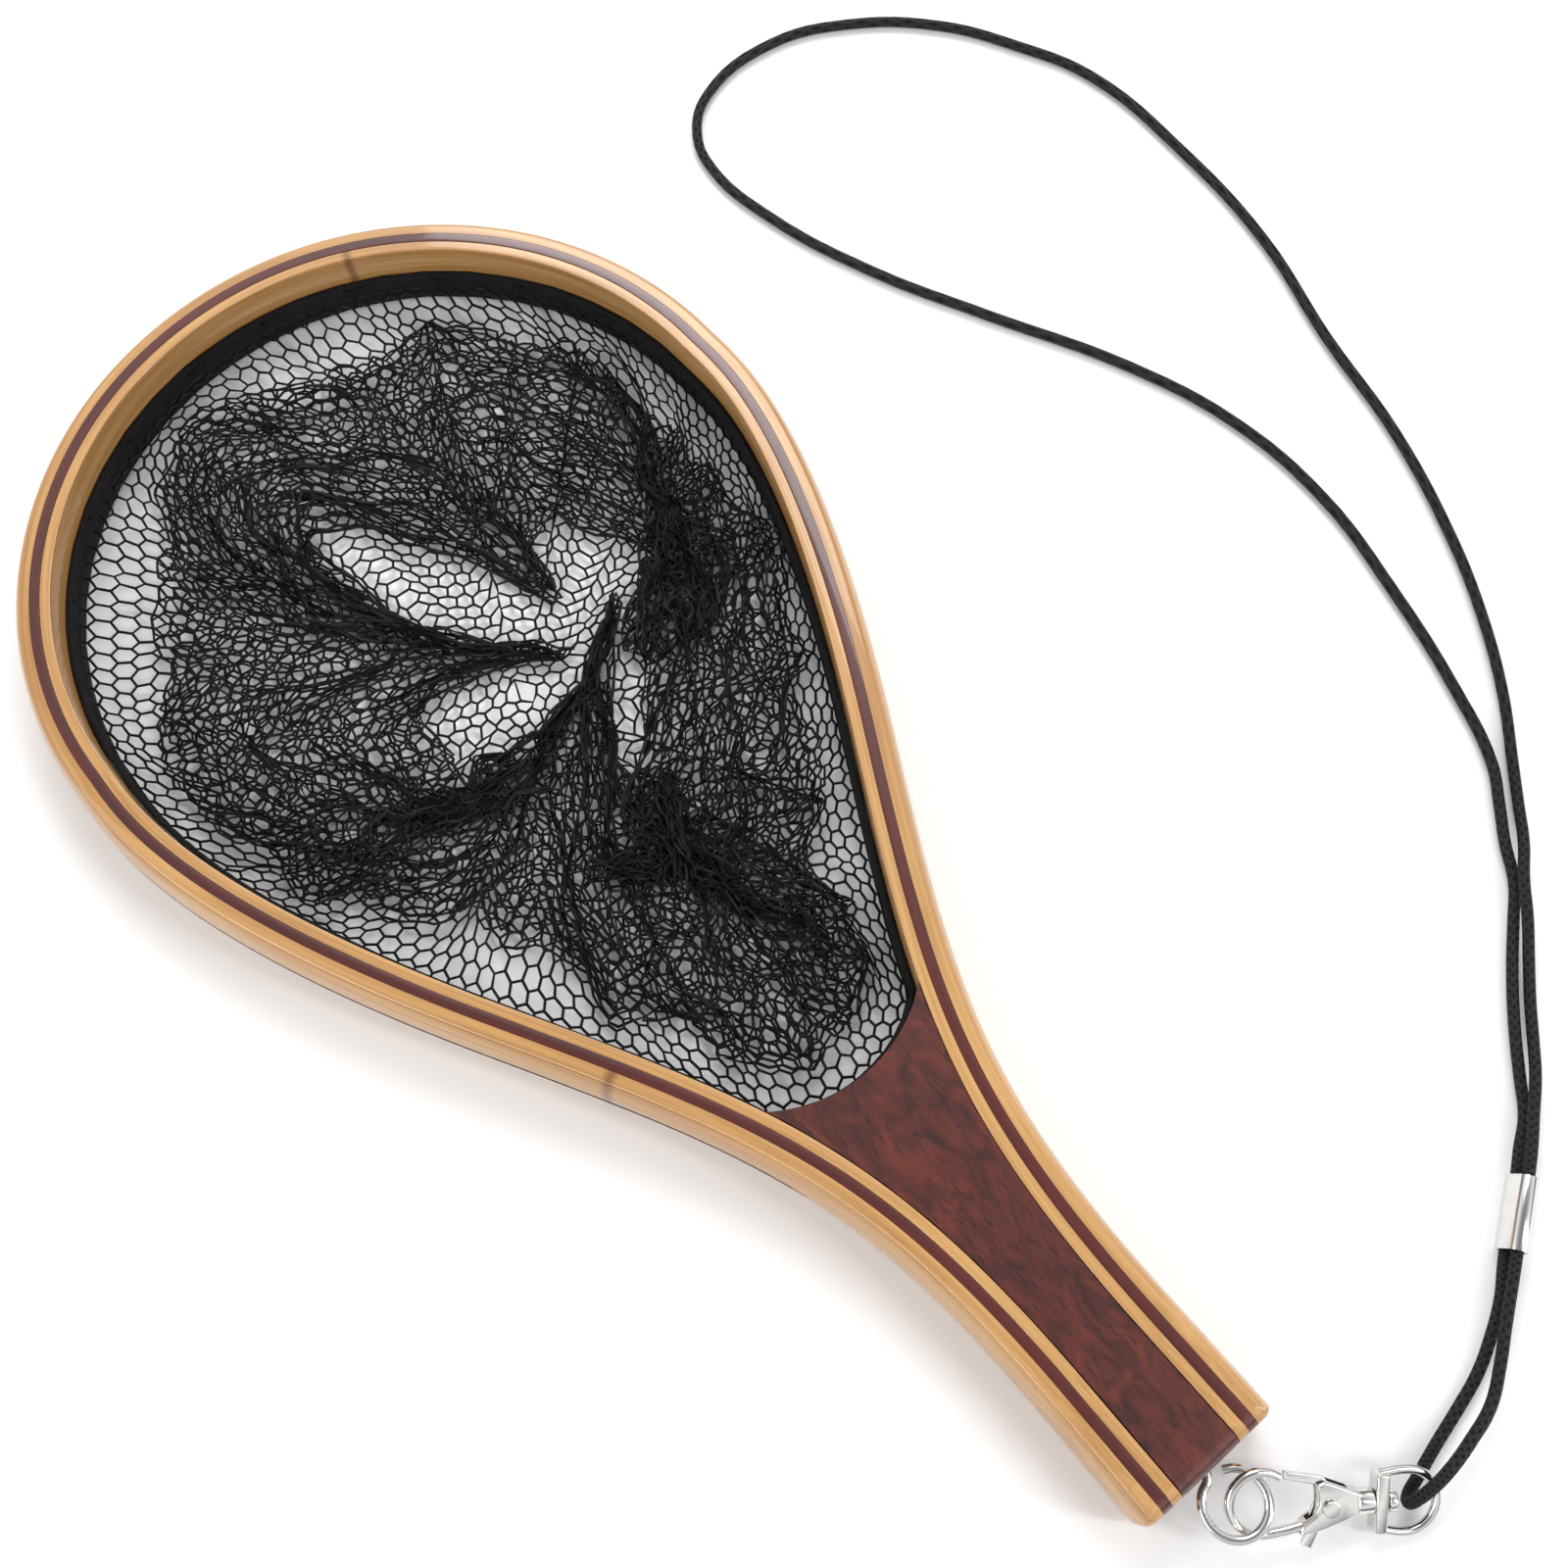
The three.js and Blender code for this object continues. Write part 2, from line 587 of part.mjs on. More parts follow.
function buildCrimp() {
  const boreHalfHeight = cordDiameter / 2 + gap;
  const boreHalfLength = boreHalfHeight + cordDiameter / 2 + 0.2;
  const section = ovalPath(boreHalfLength + crimpWall, boreHalfHeight + crimpWall, new THREE.Shape());
  section.holes.push(ovalPath(boreHalfLength, boreHalfHeight, new THREE.Path()));
  const options = { depth: crimpLength, bevelEnabled: false, curveSegments: 6 };
  const sleeve = new THREE.ExtrudeGeometry(section, options);
  sleeve.translate(0, 0, -crimpLength / 2);
  const mesh = addMesh(root, 'crimp', sleeve, nickel);
  const along = crimpTop.clone().sub(crimpBottom).normalize();
  const side = new THREE.Vector3(along.y, -along.x, 0);
  const up = new THREE.Vector3(0, 0, 1);
  const roll = rad(crimpRoll);
  const longWay = side.multiplyScalar(Math.cos(roll)).addScaledVector(up, Math.sin(roll));
  const shortWay = along.clone().cross(longWay);
  mesh.quaternion.setFromRotationMatrix(new THREE.Matrix4().makeBasis(longWay, shortWay, along));
  mesh.position.copy(crimpBottom).add(crimpTop).multiplyScalar(0.5);
}

// ---------------------------------------------------------------- the whole net

const stitchHoles = buildPlies();
buildCore();
buildNet(stitchHoles);
buildLashing();
buildScrewEye();
buildClaspBody();
buildTrigger();
buildRivet();
buildTriggerSpring();
buildSwivelRivet();
buildSwivelEye();
buildCrimp();
cordTube('cord_hitch', hitchRoute, 26);
cordTube('cord_right_strand', rightStrandRoute, 12);
cordTube('cord_left_strand', leftStrandRoute, 12);
cordTube('cord_loop', loopRoute, 36);

export default root;
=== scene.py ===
# %% [markdown]
# # A small wooden landing net
# The net lies flat with its mouth up. Its frame is three thin strips of wood, bent and glued round a
# dark core. A black mesh bag hangs in the hoop, and a snap clasp at the butt holds a neck lanyard.
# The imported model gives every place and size, so it is loaded first and its box is kept.

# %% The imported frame
import json
import math

import bpy
from mathutils import Matrix, Quaternion, Vector, noise


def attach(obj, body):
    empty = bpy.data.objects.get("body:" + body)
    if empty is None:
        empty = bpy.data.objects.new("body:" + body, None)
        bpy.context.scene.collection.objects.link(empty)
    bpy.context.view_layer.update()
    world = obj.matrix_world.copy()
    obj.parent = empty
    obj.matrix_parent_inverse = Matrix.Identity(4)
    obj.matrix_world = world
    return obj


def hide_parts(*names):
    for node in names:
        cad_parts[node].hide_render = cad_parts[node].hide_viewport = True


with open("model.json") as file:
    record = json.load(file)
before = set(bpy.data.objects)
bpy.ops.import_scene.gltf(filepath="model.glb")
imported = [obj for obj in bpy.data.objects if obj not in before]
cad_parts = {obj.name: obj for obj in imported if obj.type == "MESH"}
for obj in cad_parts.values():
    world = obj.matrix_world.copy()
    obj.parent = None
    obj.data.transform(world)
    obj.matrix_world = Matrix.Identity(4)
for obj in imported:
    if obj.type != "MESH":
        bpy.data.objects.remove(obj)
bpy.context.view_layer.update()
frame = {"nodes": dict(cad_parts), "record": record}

MM = 0.001
print("nodes", len(frame["nodes"]))

# %% [markdown]
# The camera looks down steeply from above the handle, with the hoop running away to the upper left.
# It is set by where it stands, what it looks at and a small roll.

# %% The camera
camera_place = Vector((0.0041, -0.0607, 0.4461))
camera_target = Vector((-0.1315, 0.0369, 0.0))
camera_roll = math.radians(-4.85)


def add_camera():
    bpy.ops.object.camera_add(location=camera_place)
    camera = bpy.context.object
    camera.data.lens = 41.65
    camera.data.sensor_width = 36
    camera.data.clip_start = 0.01
    aim = (camera_target - camera_place).to_track_quat("-Z", "Y")
    camera.rotation_euler = (aim @ Quaternion((0, 0, 1), camera_roll)).to_euler()
    bpy.context.scene.camera = camera


add_camera()

# %% [markdown]
# A pale floor and large soft lights make a plain studio. Two long lights give the lacquer and the
# nickel something narrow to reflect. The sky is darker overhead than at its sides, because bright metal
# under an even white sky looks like paper, and lacquer like milk.

# %% Floor and lights
def add_light(name, place, size, power):
    bpy.ops.object.light_add(type="AREA", location=place)
    light = bpy.context.object
    light.name = name
    light.data.shape = "RECTANGLE"
    light.data.size, light.data.size_y = size
    light.data.energy = power
    aim = Vector((-0.12, 0.05, 0)) - Vector(place)
    light.rotation_euler = aim.to_track_quat("-Z", "Y").to_euler()


def add_studio():
    bpy.ops.mesh.primitive_plane_add(size=6, location=(0, 0, -0.0002))
    floor = bpy.context.object
    floor.name = "studio_floor"
    paint = bpy.data.materials.new("floor_paint")
    paint.use_nodes = True
    shader = paint.node_tree.nodes["Principled BSDF"]
    shader.inputs["Base Color"].default_value = (0.93, 0.93, 0.93, 1)
    shader.inputs["Roughness"].default_value = 0.9
    floor.data.materials.append(paint)
    world = bpy.data.worlds.new("studio")
    world.use_nodes = True
    nodes = world.node_tree.nodes
    direction = nodes.new("ShaderNodeTexCoord")
    height = nodes.new("ShaderNodeSeparateXYZ")
    sky = nodes.new("ShaderNodeValToRGB")
    sky.color_ramp.elements[0].position = 0.15
    sky.color_ramp.elements[0].color = (0.10, 0.10, 0.11, 1)
    sky.color_ramp.elements[1].position = 0.55
    sky.color_ramp.elements[1].color = (1, 1, 1, 1)
    overhead = sky.color_ramp.elements.new(0.95)
    overhead.color = (0.25, 0.25, 0.26, 1)
    link = world.node_tree.links.new
    link(direction.outputs["Generated"], height.inputs[0])
    link(height.outputs["Z"], sky.inputs["Fac"])
    link(sky.outputs["Color"], nodes["Background"].inputs["Color"])
    nodes["Background"].inputs["Strength"].default_value = 1.2
    bpy.context.scene.world = world
    add_light("soft_key", (-0.9, 0.7, 1.1), (0.8, 0.8), 12)
    add_light("long_side", (0.7, 0.5, 0.6), (0.15, 1.2), 5)
    add_light("long_front", (-0.3, -1.0, 0.7), (1.2, 0.15), 5)
    bpy.context.scene.view_settings.view_transform = "Standard"


add_studio()

# %% [markdown]
# Shader maths reads best as plain expressions. The class below wraps a socket, and + - * / on it add
# the Math nodes. Every other node comes from one method of the Finish class.

# %% A small language for finishes
class Value:
    """A number that changes over a surface."""

    def __init__(self, finish, socket):
        self.finish = finish
        self.socket = socket

    def math(self, operation, *others):
        return self.finish.node("Math", {"operation": operation}, self, *others)

    def __add__(self, other):
        return self.math("ADD", other)

    def __radd__(self, other):
        return self.math("ADD", other)

    def __sub__(self, other):
        return self.math("SUBTRACT", other)

    def __rsub__(self, other):
        return self.finish.node("Math", {"operation": "SUBTRACT"}, other, self)

    def __mul__(self, other):
        return self.math("MULTIPLY", other)

    def __rmul__(self, other):
        return self.math("MULTIPLY", other)


class Finish:
    """A material whose nodes are added by name."""

    def __init__(self, name, color, roughness, metallic=0.0):
        self.material = bpy.data.materials.new(name)
        self.material.use_nodes = True
        self.tree = self.material.node_tree
        self.shader = self.tree.nodes["Principled BSDF"]
        self.set("Base Color", (*color, 1))
        self.set("Roughness", roughness)
        self.set("Metallic", metallic)

    def set(self, name, value):
        socket = self.shader.inputs[name]
        if isinstance(value, Value):
            self.tree.links.new(value.socket, socket)
        else:
            socket.default_value = value

    def node(self, kind, settings, *values, output=0, **named):
        node = self.tree.nodes.new("ShaderNode" + kind)
        for key, setting in settings.items():
            setattr(node, key, setting)
        for key, value in [*enumerate(values), *named.items()]:
            socket = node.inputs[key.replace("_", " ") if isinstance(key, str) else key]
            if isinstance(value, Value):
                self.tree.links.new(value.socket, socket)
            else:
                socket.default_value = value
        return Value(self, node.outputs[output])

    def place(self):
        return self.node("TexCoord", {}, output="Object")

    def scaled(self, vector, scale):
        return self.node("Mapping", {}, vector, Scale=scale)

    def noise(self, vector, scale, detail=4.0, distortion=0.0):
        settings = {"Vector": vector, "Scale": scale, "Detail": detail, "Distortion": distortion}
        return self.node("TexNoise", {}, **settings)

    def between(self, value, low, high):
        return self.node("MapRange", {}, value, From_Min=low, From_Max=high)

    def mix(self, share, first, second):
        node = self.tree.nodes.new("ShaderNodeMix")
        node.data_type = "RGBA"
        self.tree.links.new(share.socket, node.inputs[0])
        for socket, value in ((node.inputs[6], first), (node.inputs[7], second)):
            if isinstance(value, Value):
                self.tree.links.new(value.socket, socket)
            else:
                socket.default_value = (*value, 1)
        return Value(self, node.outputs[2])

    def bump(self, height, strength, distance):
        self.set("Normal", self.node("Bump", {}, Strength=strength, Distance=distance, Height=height))


# %% [markdown]
# Bamboo has long straight fibres, so its noise is stretched along the strip. The strip's own UV map
# runs along it, which keeps the grain with the bend. Each pale strip has one dark line across it, where
# a joint of the cane was. A lacquer coat lies over the wood.

# %% Wood finishes
STRIP_LENGTH = 1.05
NODE_MARK = (0.16, 0.065, 0.018)
OUTER_MARK = 0.242
INNER_MARK = 0.563


def strip_wood(name, light, dark, fibre_contrast, mark_at=None):
    finish = Finish(name, light, 0.38)
    uv = finish.node("TexCoord", {}, output="UV")
    height = finish.node("SeparateXYZ", {}, finish.place(), output="Z")
    along = finish.node("SeparateXYZ", {}, uv, output="X") * STRIP_LENGTH
    across = finish.node("SeparateXYZ", {}, uv, output="Y") * 0.05
    grain_place = finish.node("CombineXYZ", {}, along, across * 30, height * 30)
    fibres = finish.noise(grain_place, 28, 6, 0.3)
    bands = finish.noise(finish.scaled(grain_place, (1.0, 0.2, 0.2)), 9, 3)
    share = finish.between(fibres * fibre_contrast + bands * (1 - fibre_contrast), 0.36, 0.66)
    color = finish.mix(share, light, dark)
    if mark_at is not None:
        wavy = along + fibres * 0.0016 - mark_at
        mark = finish.between(wavy.math("ABSOLUTE"), 0.0016, 0.0003) * 0.75
        color = finish.mix(mark, color, NODE_MARK)
    finish.set("Base Color", color)
    finish.set("Roughness", fibres * 0.15 + 0.3)
    finish.set("Coat Weight", 0.6)
    finish.set("Coat Roughness", 0.06)
    finish.bump(fibres, 0.12, 0.0002)
    return finish.material


def burl_wood():
    finish = Finish("burl_wood", (0.12, 0.017, 0.01), 0.4)
    place = finish.scaled(finish.place(), (0.45, 1.0, 1.0))
    figure = finish.noise(place, 130, 7, 2.2)
    pores = finish.noise(finish.scaled(finish.place(), (0.15, 1, 1)), 1500, 2)
    share = finish.between(figure, 0.32, 0.68)
    color = finish.mix(share, (0.030, 0.004, 0.003), (0.125, 0.018, 0.009))
    dark_pores = finish.between(pores, 0.58, 0.72)
    finish.set("Base Color", finish.mix(dark_pores, color, (0.018, 0.003, 0.002)))
    finish.set("Coat Weight", 0.6)
    finish.set("Coat Roughness", 0.05)
    finish.bump(pores, 0.05, 0.0002)
    return finish.material


PALE = (0.60, 0.34, 0.125)
PALE_FIBRE = (0.37, 0.17, 0.048)
outer_bamboo = strip_wood("outer_bamboo", PALE, PALE_FIBRE, 0.6, OUTER_MARK)
inner_bamboo = strip_wood("inner_bamboo", PALE, PALE_FIBRE, 0.6, INNER_MARK)
red_strip = strip_wood("red_wood", (0.105, 0.013, 0.008), (0.040, 0.006, 0.004), 0.7)
burl = burl_wood()
print("wood finishes", outer_bamboo.name, inner_bamboo.name, red_strip.name, burl.name)

# %% [markdown]
# The soft parts are all black nylon, but each is worked differently: the bag is knitted, the hem is a
# fuzzy tape, and the cord is braided. The metal is bright nickel plate with faint handling marks.

# %% Black nylon and nickel
def knitted_nylon():
    finish = Finish("black_net", (0.006, 0.006, 0.006), 0.6)
    finish.set("Specular IOR Level", 0.18)
    ribs = finish.noise(finish.place(), 2600, 2)
    finish.set("Roughness", ribs * 0.3 + 0.42)
    finish.set("Base Color", finish.mix(ribs, (0.003, 0.003, 0.003), (0.014, 0.014, 0.014)))
    finish.bump(ribs, 0.4, 0.0002)
    return finish.material


def fuzzy_tape():
    finish = Finish("black_tape", (0.006, 0.006, 0.006), 0.85)
    finish.set("Specular IOR Level", 0.18)
    fuzz = finish.noise(finish.place(), 1400, 5)
    finish.set("Base Color", finish.mix(fuzz, (0.003, 0.003, 0.003), (0.016, 0.016, 0.016)))
    finish.bump(fuzz, 0.8, 0.0005)
    return finish.material


def braided_cord():
    finish = Finish("black_cord", (0.007, 0.007, 0.007), 0.5)
    finish.set("Specular IOR Level", 0.18)
    uv = finish.node("TexCoord", {}, output="UV")
    along = finish.node("SeparateXYZ", {}, uv, output="X") * 1600
    around = finish.node("SeparateXYZ", {}, uv, output="Y") * 2 * math.pi * 4
    left = (along + around).math("SINE")
    right = (along - around).math("SINE")
    # The braid's ridges are painted lighter and its grooves darker: a painted sheen on the ridges and
    # painted shade in the grooves, on top of the bump from the same pattern.
    braid_relief_and_sheen = left.math("MAXIMUM", right) * 0.5 + 0.5
    finish.set("Base Color", finish.mix(braid_relief_and_sheen, (0.002, 0.002, 0.002), (0.017, 0.017, 0.018)))
    finish.set("Roughness", 0.75 - braid_relief_and_sheen * 0.3)
    finish.bump(braid_relief_and_sheen, 0.9, 0.0003)
    return finish.material


def metal(name, color, roughness):
    finish = Finish(name, color, roughness, 1.0)
    marks = finish.noise(finish.place(), 420, 5)
    finish.set("Roughness", marks * 0.16 + (roughness - 0.05))
    finish.set("Base Color", finish.mix(marks, color, tuple(part * 0.86 for part in color)))
    finish.bump(finish.noise(finish.place(), 160, 2), 0.04, 0.0004)
    return finish.material


net_nylon = knitted_nylon()
hem_tape = fuzzy_tape()
cord_nylon = braided_cord()
nickel = metal("nickel", (0.76, 0.75, 0.73), 0.13)
spring_steel = metal("spring_steel", (0.5, 0.5, 0.51), 0.3)
print("soft and metal finishes made")

# %% [markdown]
# Helpers for modelling. Each finished piece has its place in its mesh, rides on a body, and hides the
# imported nodes that it stands for.

# %% Modelling helpers
def only(piece):
    bpy.ops.object.select_all(action="DESELECT")
    piece.select_set(True)
    bpy.context.view_layer.objects.active = piece


def apply_modifier(piece, kind, **settings):
    only(piece)
    modifier = piece.modifiers.new(kind.lower(), kind)
    for key, setting in settings.items():
        setattr(modifier, key, setting)
    bpy.ops.object.modifier_apply(modifier=modifier.name)


def clean(piece, distance=1e-6):
    only(piece)
    bpy.ops.object.mode_set(mode="EDIT")
    bpy.ops.mesh.select_all(action="SELECT")
    bpy.ops.mesh.remove_doubles(threshold=distance)
    bpy.ops.mesh.normals_make_consistent(inside=False)
    bpy.ops.object.mode_set(mode="OBJECT")


def smooth(piece, degrees=35):
    only(piece)
    bpy.ops.object.shade_smooth_by_angle(angle=math.radians(degrees))


def finish_piece(piece, name, body, material, slot, *nodes):
    only(piece)
    bpy.ops.object.transform_apply(location=True, rotation=True, scale=True)
    piece.name = name
    piece.data.materials.clear()
    piece.data.materials.append(material)
    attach(piece, body)
    if nodes:
        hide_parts(*nodes)
    print(name, len(piece.data.polygons), "faces")


def copy_of_node(node):
    source = frame["nodes"][node]
    piece = source.copy()
    piece.data = source.data.copy()
    piece.parent = None
    piece.matrix_world = Matrix.Identity(4)
    for key in list(piece.keys()):
        if key.startswith("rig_"):
            del piece[key]
    bpy.context.collection.objects.link(piece)
    clean(piece)
    return piece


def cut(piece, cutter, operation="DIFFERENCE"):
    apply_modifier(piece, "BOOLEAN", operation=operation, object=cutter, solver="EXACT")


def remove(piece):
    bpy.data.objects.remove(piece)


# %% [markdown]
# A cord or a bent wire is a Bezier curve through its points with a round bevel. Converting it to a
# mesh keeps the curve's UV map, which runs along it.

# %% Wires
def wire(name, points, radius, sides=6, steps=8):
    bpy.ops.curve.primitive_bezier_curve_add(location=(0, 0, 0))
    line = bpy.context.object
    line.name = name
    spline = line.data.splines[0]
    spline.bezier_points.add(len(points) - 2)
    for knot, point in zip(spline.bezier_points, points):
        knot.co = point
        knot.handle_left_type = "AUTO"
        knot.handle_right_type = "AUTO"
    line.data.dimensions = "3D"
    line.data.resolution_u = steps
    line.data.bevel_depth = radius
    line.data.bevel_resolution = sides
    line.data.use_fill_caps = True
    only(line)
    bpy.ops.object.convert(target="MESH")
    clean(line)
    smooth(line, 50)
    return line


# %% [markdown]
# The lanyard is one cord. It starts in the ferrule, goes through the swivel eye, comes back through
# the ferrule and makes one long loop to its start. All of it lies in sight, so nothing is coiled.

# %% The lanyard's route
hitch_route = [
    (0.0667, 0.0971, 0.0056), (0.0716, 0.0898, 0.0056), (0.0752, 0.0844, 0.0055),
    (0.0808, 0.0759, 0.0053), (0.0863, 0.0676, 0.0054), (0.0904, 0.0595, 0.0066),
    (0.0922, 0.0500, 0.0086), (0.0931, 0.0415, 0.0100), (0.0933, 0.0365, 0.0096),
    (0.0932, 0.0324, 0.0078), (0.0928, 0.0304, 0.0054), (0.0919, 0.0320, 0.0035),
    (0.0910, 0.0360, 0.0028), (0.0900, 0.0405, 0.0022), (0.0889, 0.0455, 0.0018),
    (0.0871, 0.0540, 0.0017), (0.0847, 0.0636, 0.0017), (0.0812, 0.0720, 0.0017),
    (0.0766, 0.0805, 0.0017), (0.0727, 0.0854, 0.0022), (0.0701, 0.0888, 0.0026),
]
left_strand_route = [
    (0.0651, 0.0965, 0.0026), (0.0602, 0.1038, 0.0026), (0.0562, 0.1096, 0.0021),
    (0.0518, 0.1165, 0.0016), (0.0448, 0.1228, 0.0016), (0.0376, 0.1293, 0.0016),
    (0.0306, 0.1362, 0.0016), (0.0238, 0.1436, 0.0016), (0.0172, 0.1514, 0.0016),
    (0.0104, 0.1592, 0.0016), (0.0018, 0.1654, 0.0016), (-0.0060, 0.1720, 0.0016),
]
loop_route = [
    (-0.0149, 0.1791, 0.0016), (-0.0354, 0.1876, 0.0016), (-0.0659, 0.1966, 0.0016),
    (-0.0980, 0.2031, 0.0016), (-0.1308, 0.2020, 0.0016), (-0.1630, 0.1928, 0.0016),
    (-0.2040, 0.1736, 0.0016), (-0.2358, 0.1594, 0.0016), (-0.2704, 0.1493, 0.0016),
    (-0.2953, 0.1476, 0.0016), (-0.3086, 0.1526, 0.0016), (-0.3177, 0.1642, 0.0016),
    (-0.3196, 0.1916, 0.0016), (-0.3096, 0.2138, 0.0016), (-0.2902, 0.2346, 0.0016),
    (-0.2688, 0.2469, 0.0016), (-0.2455, 0.2558, 0.0016), (-0.2067, 0.2567, 0.0016),
    (-0.1688, 0.2521, 0.0016), (-0.1330, 0.2413, 0.0016), (-0.0986, 0.2328, 0.0016),
    (-0.0662, 0.2201, 0.0016), (-0.0462, 0.2095, 0.0016), (-0.0276, 0.1970, 0.0016),
]
right_strand_route = [
    (-0.0110, 0.1828, 0.0016), (-0.0030, 0.1758, 0.0017), (0.0048, 0.1683, 0.0032),
    (0.0113, 0.1601, 0.0051), (0.0189, 0.1531, 0.0048), (0.0264, 0.1460, 0.0030),
    (0.0334, 0.1390, 0.0022), (0.0405, 0.1319, 0.0026), (0.0468, 0.1246, 0.0046),
    (0.0525, 0.1172, 0.0052), (0.0575, 0.1108, 0.0055), (0.0617, 0.1048, 0.0056),
    (0.0665, 0.0974, 0.0056),
]
whole_route = hitch_route + left_strand_route + loop_route + right_strand_route
cord_points = [Vector(point) for point in whole_route]
cord_diameter = 0.003


def length_through(points):
    return sum((b - a).length for a, b in zip(points, points[1:]))


def bowed_length(points):
    """About the length of the smooth curve through the points, each span taken as a shallow arc."""
    total = 0.0
    for i in range(len(points) - 1):
        chord = points[i + 1] - points[i]
        before = points[i] - points[max(i - 1, 0)]
        after = points[min(i + 2, len(points) - 1)] - points[i + 1]
        turns = [chord.angle(side) for side in (before, after) if side.length > 0 and side != chord]
        turn = sum(turns) / len(turns) if turns else 0.0
        total += chord.length * (1 + turn * turn / 24)
    return total


cord_length = bowed_length(cord_points)
print("cord", len(cord_points), "points,", round(cord_length, 3), "m")

# %% [markdown]
# The frame's strips follow one line: a quarter circle, a full shoulder, a hollow neck and the
# straight grip, mirrored. A Bezier path carries it, and each strip's section is swept along it.

# %% The frame's line
FRAME_DEPTH = 0.021
HOOP_RADIUS = 0.0988
HOOP_X = -0.2418
CIRCLE_PULL = 0.5523 * HOOP_RADIUS
SHOULDER = Vector((-0.124, 0.0592))
SHOULDER_SLOPE = 0.56
WAIST = Vector((0.023, 0.01285))
BUTT = Vector((0.058, 0.0131))
WIDEST = Vector((HOOP_X, HOOP_RADIUS))
FAR_END = Vector((HOOP_X - HOOP_RADIUS, 0))


def along_shoulder(dx):
    return SHOULDER + Vector((dx, -SHOULDER_SLOPE * dx))


# Each knot of the +Y half: its place, the handle towards the butt and the handle towards the far end.
half_knots = [
    (BUTT, BUTT, BUTT.lerp(WAIST, 0.3)),
    (WAIST, WAIST.lerp(BUTT, 0.3), WAIST - Vector((0.062, 0))),
    (SHOULDER, along_shoulder(0.061), along_shoulder(-0.080)),
    (WIDEST, WIDEST + Vector((0.010, 0)), WIDEST - Vector((CIRCLE_PULL, 0))),
]


def flipped(point):
    return Vector((point.x, -point.y))


def line_knots():
    first = [(flipped(p), flipped(to_butt), flipped(to_far)) for p, to_butt, to_far in half_knots]
    far = (FAR_END, FAR_END - Vector((0, CIRCLE_PULL)), FAR_END + Vector((0, CIRCLE_PULL)))
    second = [(p, to_far, to_butt) for p, to_butt, to_far in reversed(half_knots)]
    return [*first, far, *second]


def bezier_point(a, b, c, d, t):
    s = 1 - t
    return a * s ** 3 + b * (3 * s * s * t) + c * (3 * s * t * t) + d * t ** 3


def line_samples(steps=40):
    points = []
    knots = line_knots()
    for (start, _, leave), (end, arrive, _) in zip(knots, knots[1:]):
        points += [bezier_point(start, leave, arrive, end, i / steps) for i in range(steps)]
    points.append(knots[-1][0])
    return points


line_points = line_samples()
print("frame line", round(length_through(line_points), 4), "m")

# %% [markdown]
# A section is a closed outline in (outwards, up). The path is flat, so the sweep keeps it upright.

# %% Sweeping a section
def profile_curve(outline):
    bpy.ops.curve.primitive_bezier_curve_add()
    shape = bpy.context.object
    shape.data.splines.clear()
    spline = shape.data.splines.new("POLY")
    spline.points.add(len(outline) - 1)
    for knot, (out, up) in zip(spline.points, outline):
        knot.co = (-out, up, 0, 1)
    spline.use_cyclic_u = True
    shape.data.dimensions = "2D"
    return shape


def sweep(outline, start=0.0, end=1.0):
    shape = profile_curve(outline)
    bpy.ops.curve.primitive_bezier_curve_add(location=(0, 0, 0))
    path = bpy.context.object
    knots = line_knots()
    spline = path.data.splines[0]
    spline.bezier_points.add(len(knots) - 2)
    for knot, (place, left, right) in zip(spline.bezier_points, knots):
        knot.handle_left_type = "FREE"
        knot.handle_right_type = "FREE"
        knot.co = (*place, 0)
        knot.handle_left = (*left, 0)
        knot.handle_right = (*right, 0)
    path.data.dimensions = "2D"
    path.data.fill_mode = "NONE"
    path.data.resolution_u = 40
    path.data.bevel_mode = "OBJECT"
    path.data.bevel_object = shape
    path.data.use_fill_caps = True
    path.data.bevel_factor_mapping_start = "SPLINE"
    path.data.bevel_factor_mapping_end = "SPLINE"
    path.data.bevel_factor_start = start
    path.data.bevel_factor_end = end
    only(path)
    bpy.ops.object.convert(target="MESH")
    remove(shape)
    clean(path)
    return path


# %% [markdown]
# The outer strip has a rounded back with a groove for the lashing, and the butt is shaped after the
# glue-up, so one cutter rounds the end of all four wooden pieces.

# %% The strips
MIDDLE_HALF = 0.00135
INNER_FACE = -0.00425
BACK_FLAT = 0.00355
BACK_BULGE = 0.0034
GLUE = 0.00003
GROOVE_Z = 0.0098
GROOVE_HALF = 0.0013
GROOVE_DEPTH = 0.0014
GROOVE_BOTTOM = BACK_FLAT + BACK_BULGE - GROOVE_DEPTH
GROOVE_ENDS_X = -0.045
line_length = length_through(line_points)
groove_start = next(
    length_through(line_points[:i + 1])
    for i, point in enumerate(line_points) if point.x < GROOVE_ENDS_X) / line_length


def rounded_block(low, high, radius=0.0003, corner_steps=3):
    """A rectangle in (outwards, up), its corners slightly rounded as sanding leaves them."""
    corners = [(low, 0, 180), (high, 0, 270), (high, FRAME_DEPTH, 0), (low, FRAME_DEPTH, 90)]
    outline = []
    for out, up, first in corners:
        middle_out = out + math.copysign(radius, (low + high) / 2 - out)
        middle_up = up + math.copysign(radius, FRAME_DEPTH / 2 - up)
        for i in range(corner_steps + 1):
            angle = math.radians(first + 90 * i / corner_steps)
            outline.append((middle_out + radius * math.cos(angle), middle_up + radius * math.sin(angle)))
    return outline


def rounded_back():
    outline = [(MIDDLE_HALF + GLUE, 0)]
    for i in range(29):
        angle = math.radians(-90 + 180 * i / 28)
        half = FRAME_DEPTH / 2
        outline.append((BACK_FLAT + BACK_BULGE * math.cos(angle), half + half * math.sin(angle)))
    outline.append((MIDDLE_HALF + GLUE, FRAME_DEPTH))
    return outline


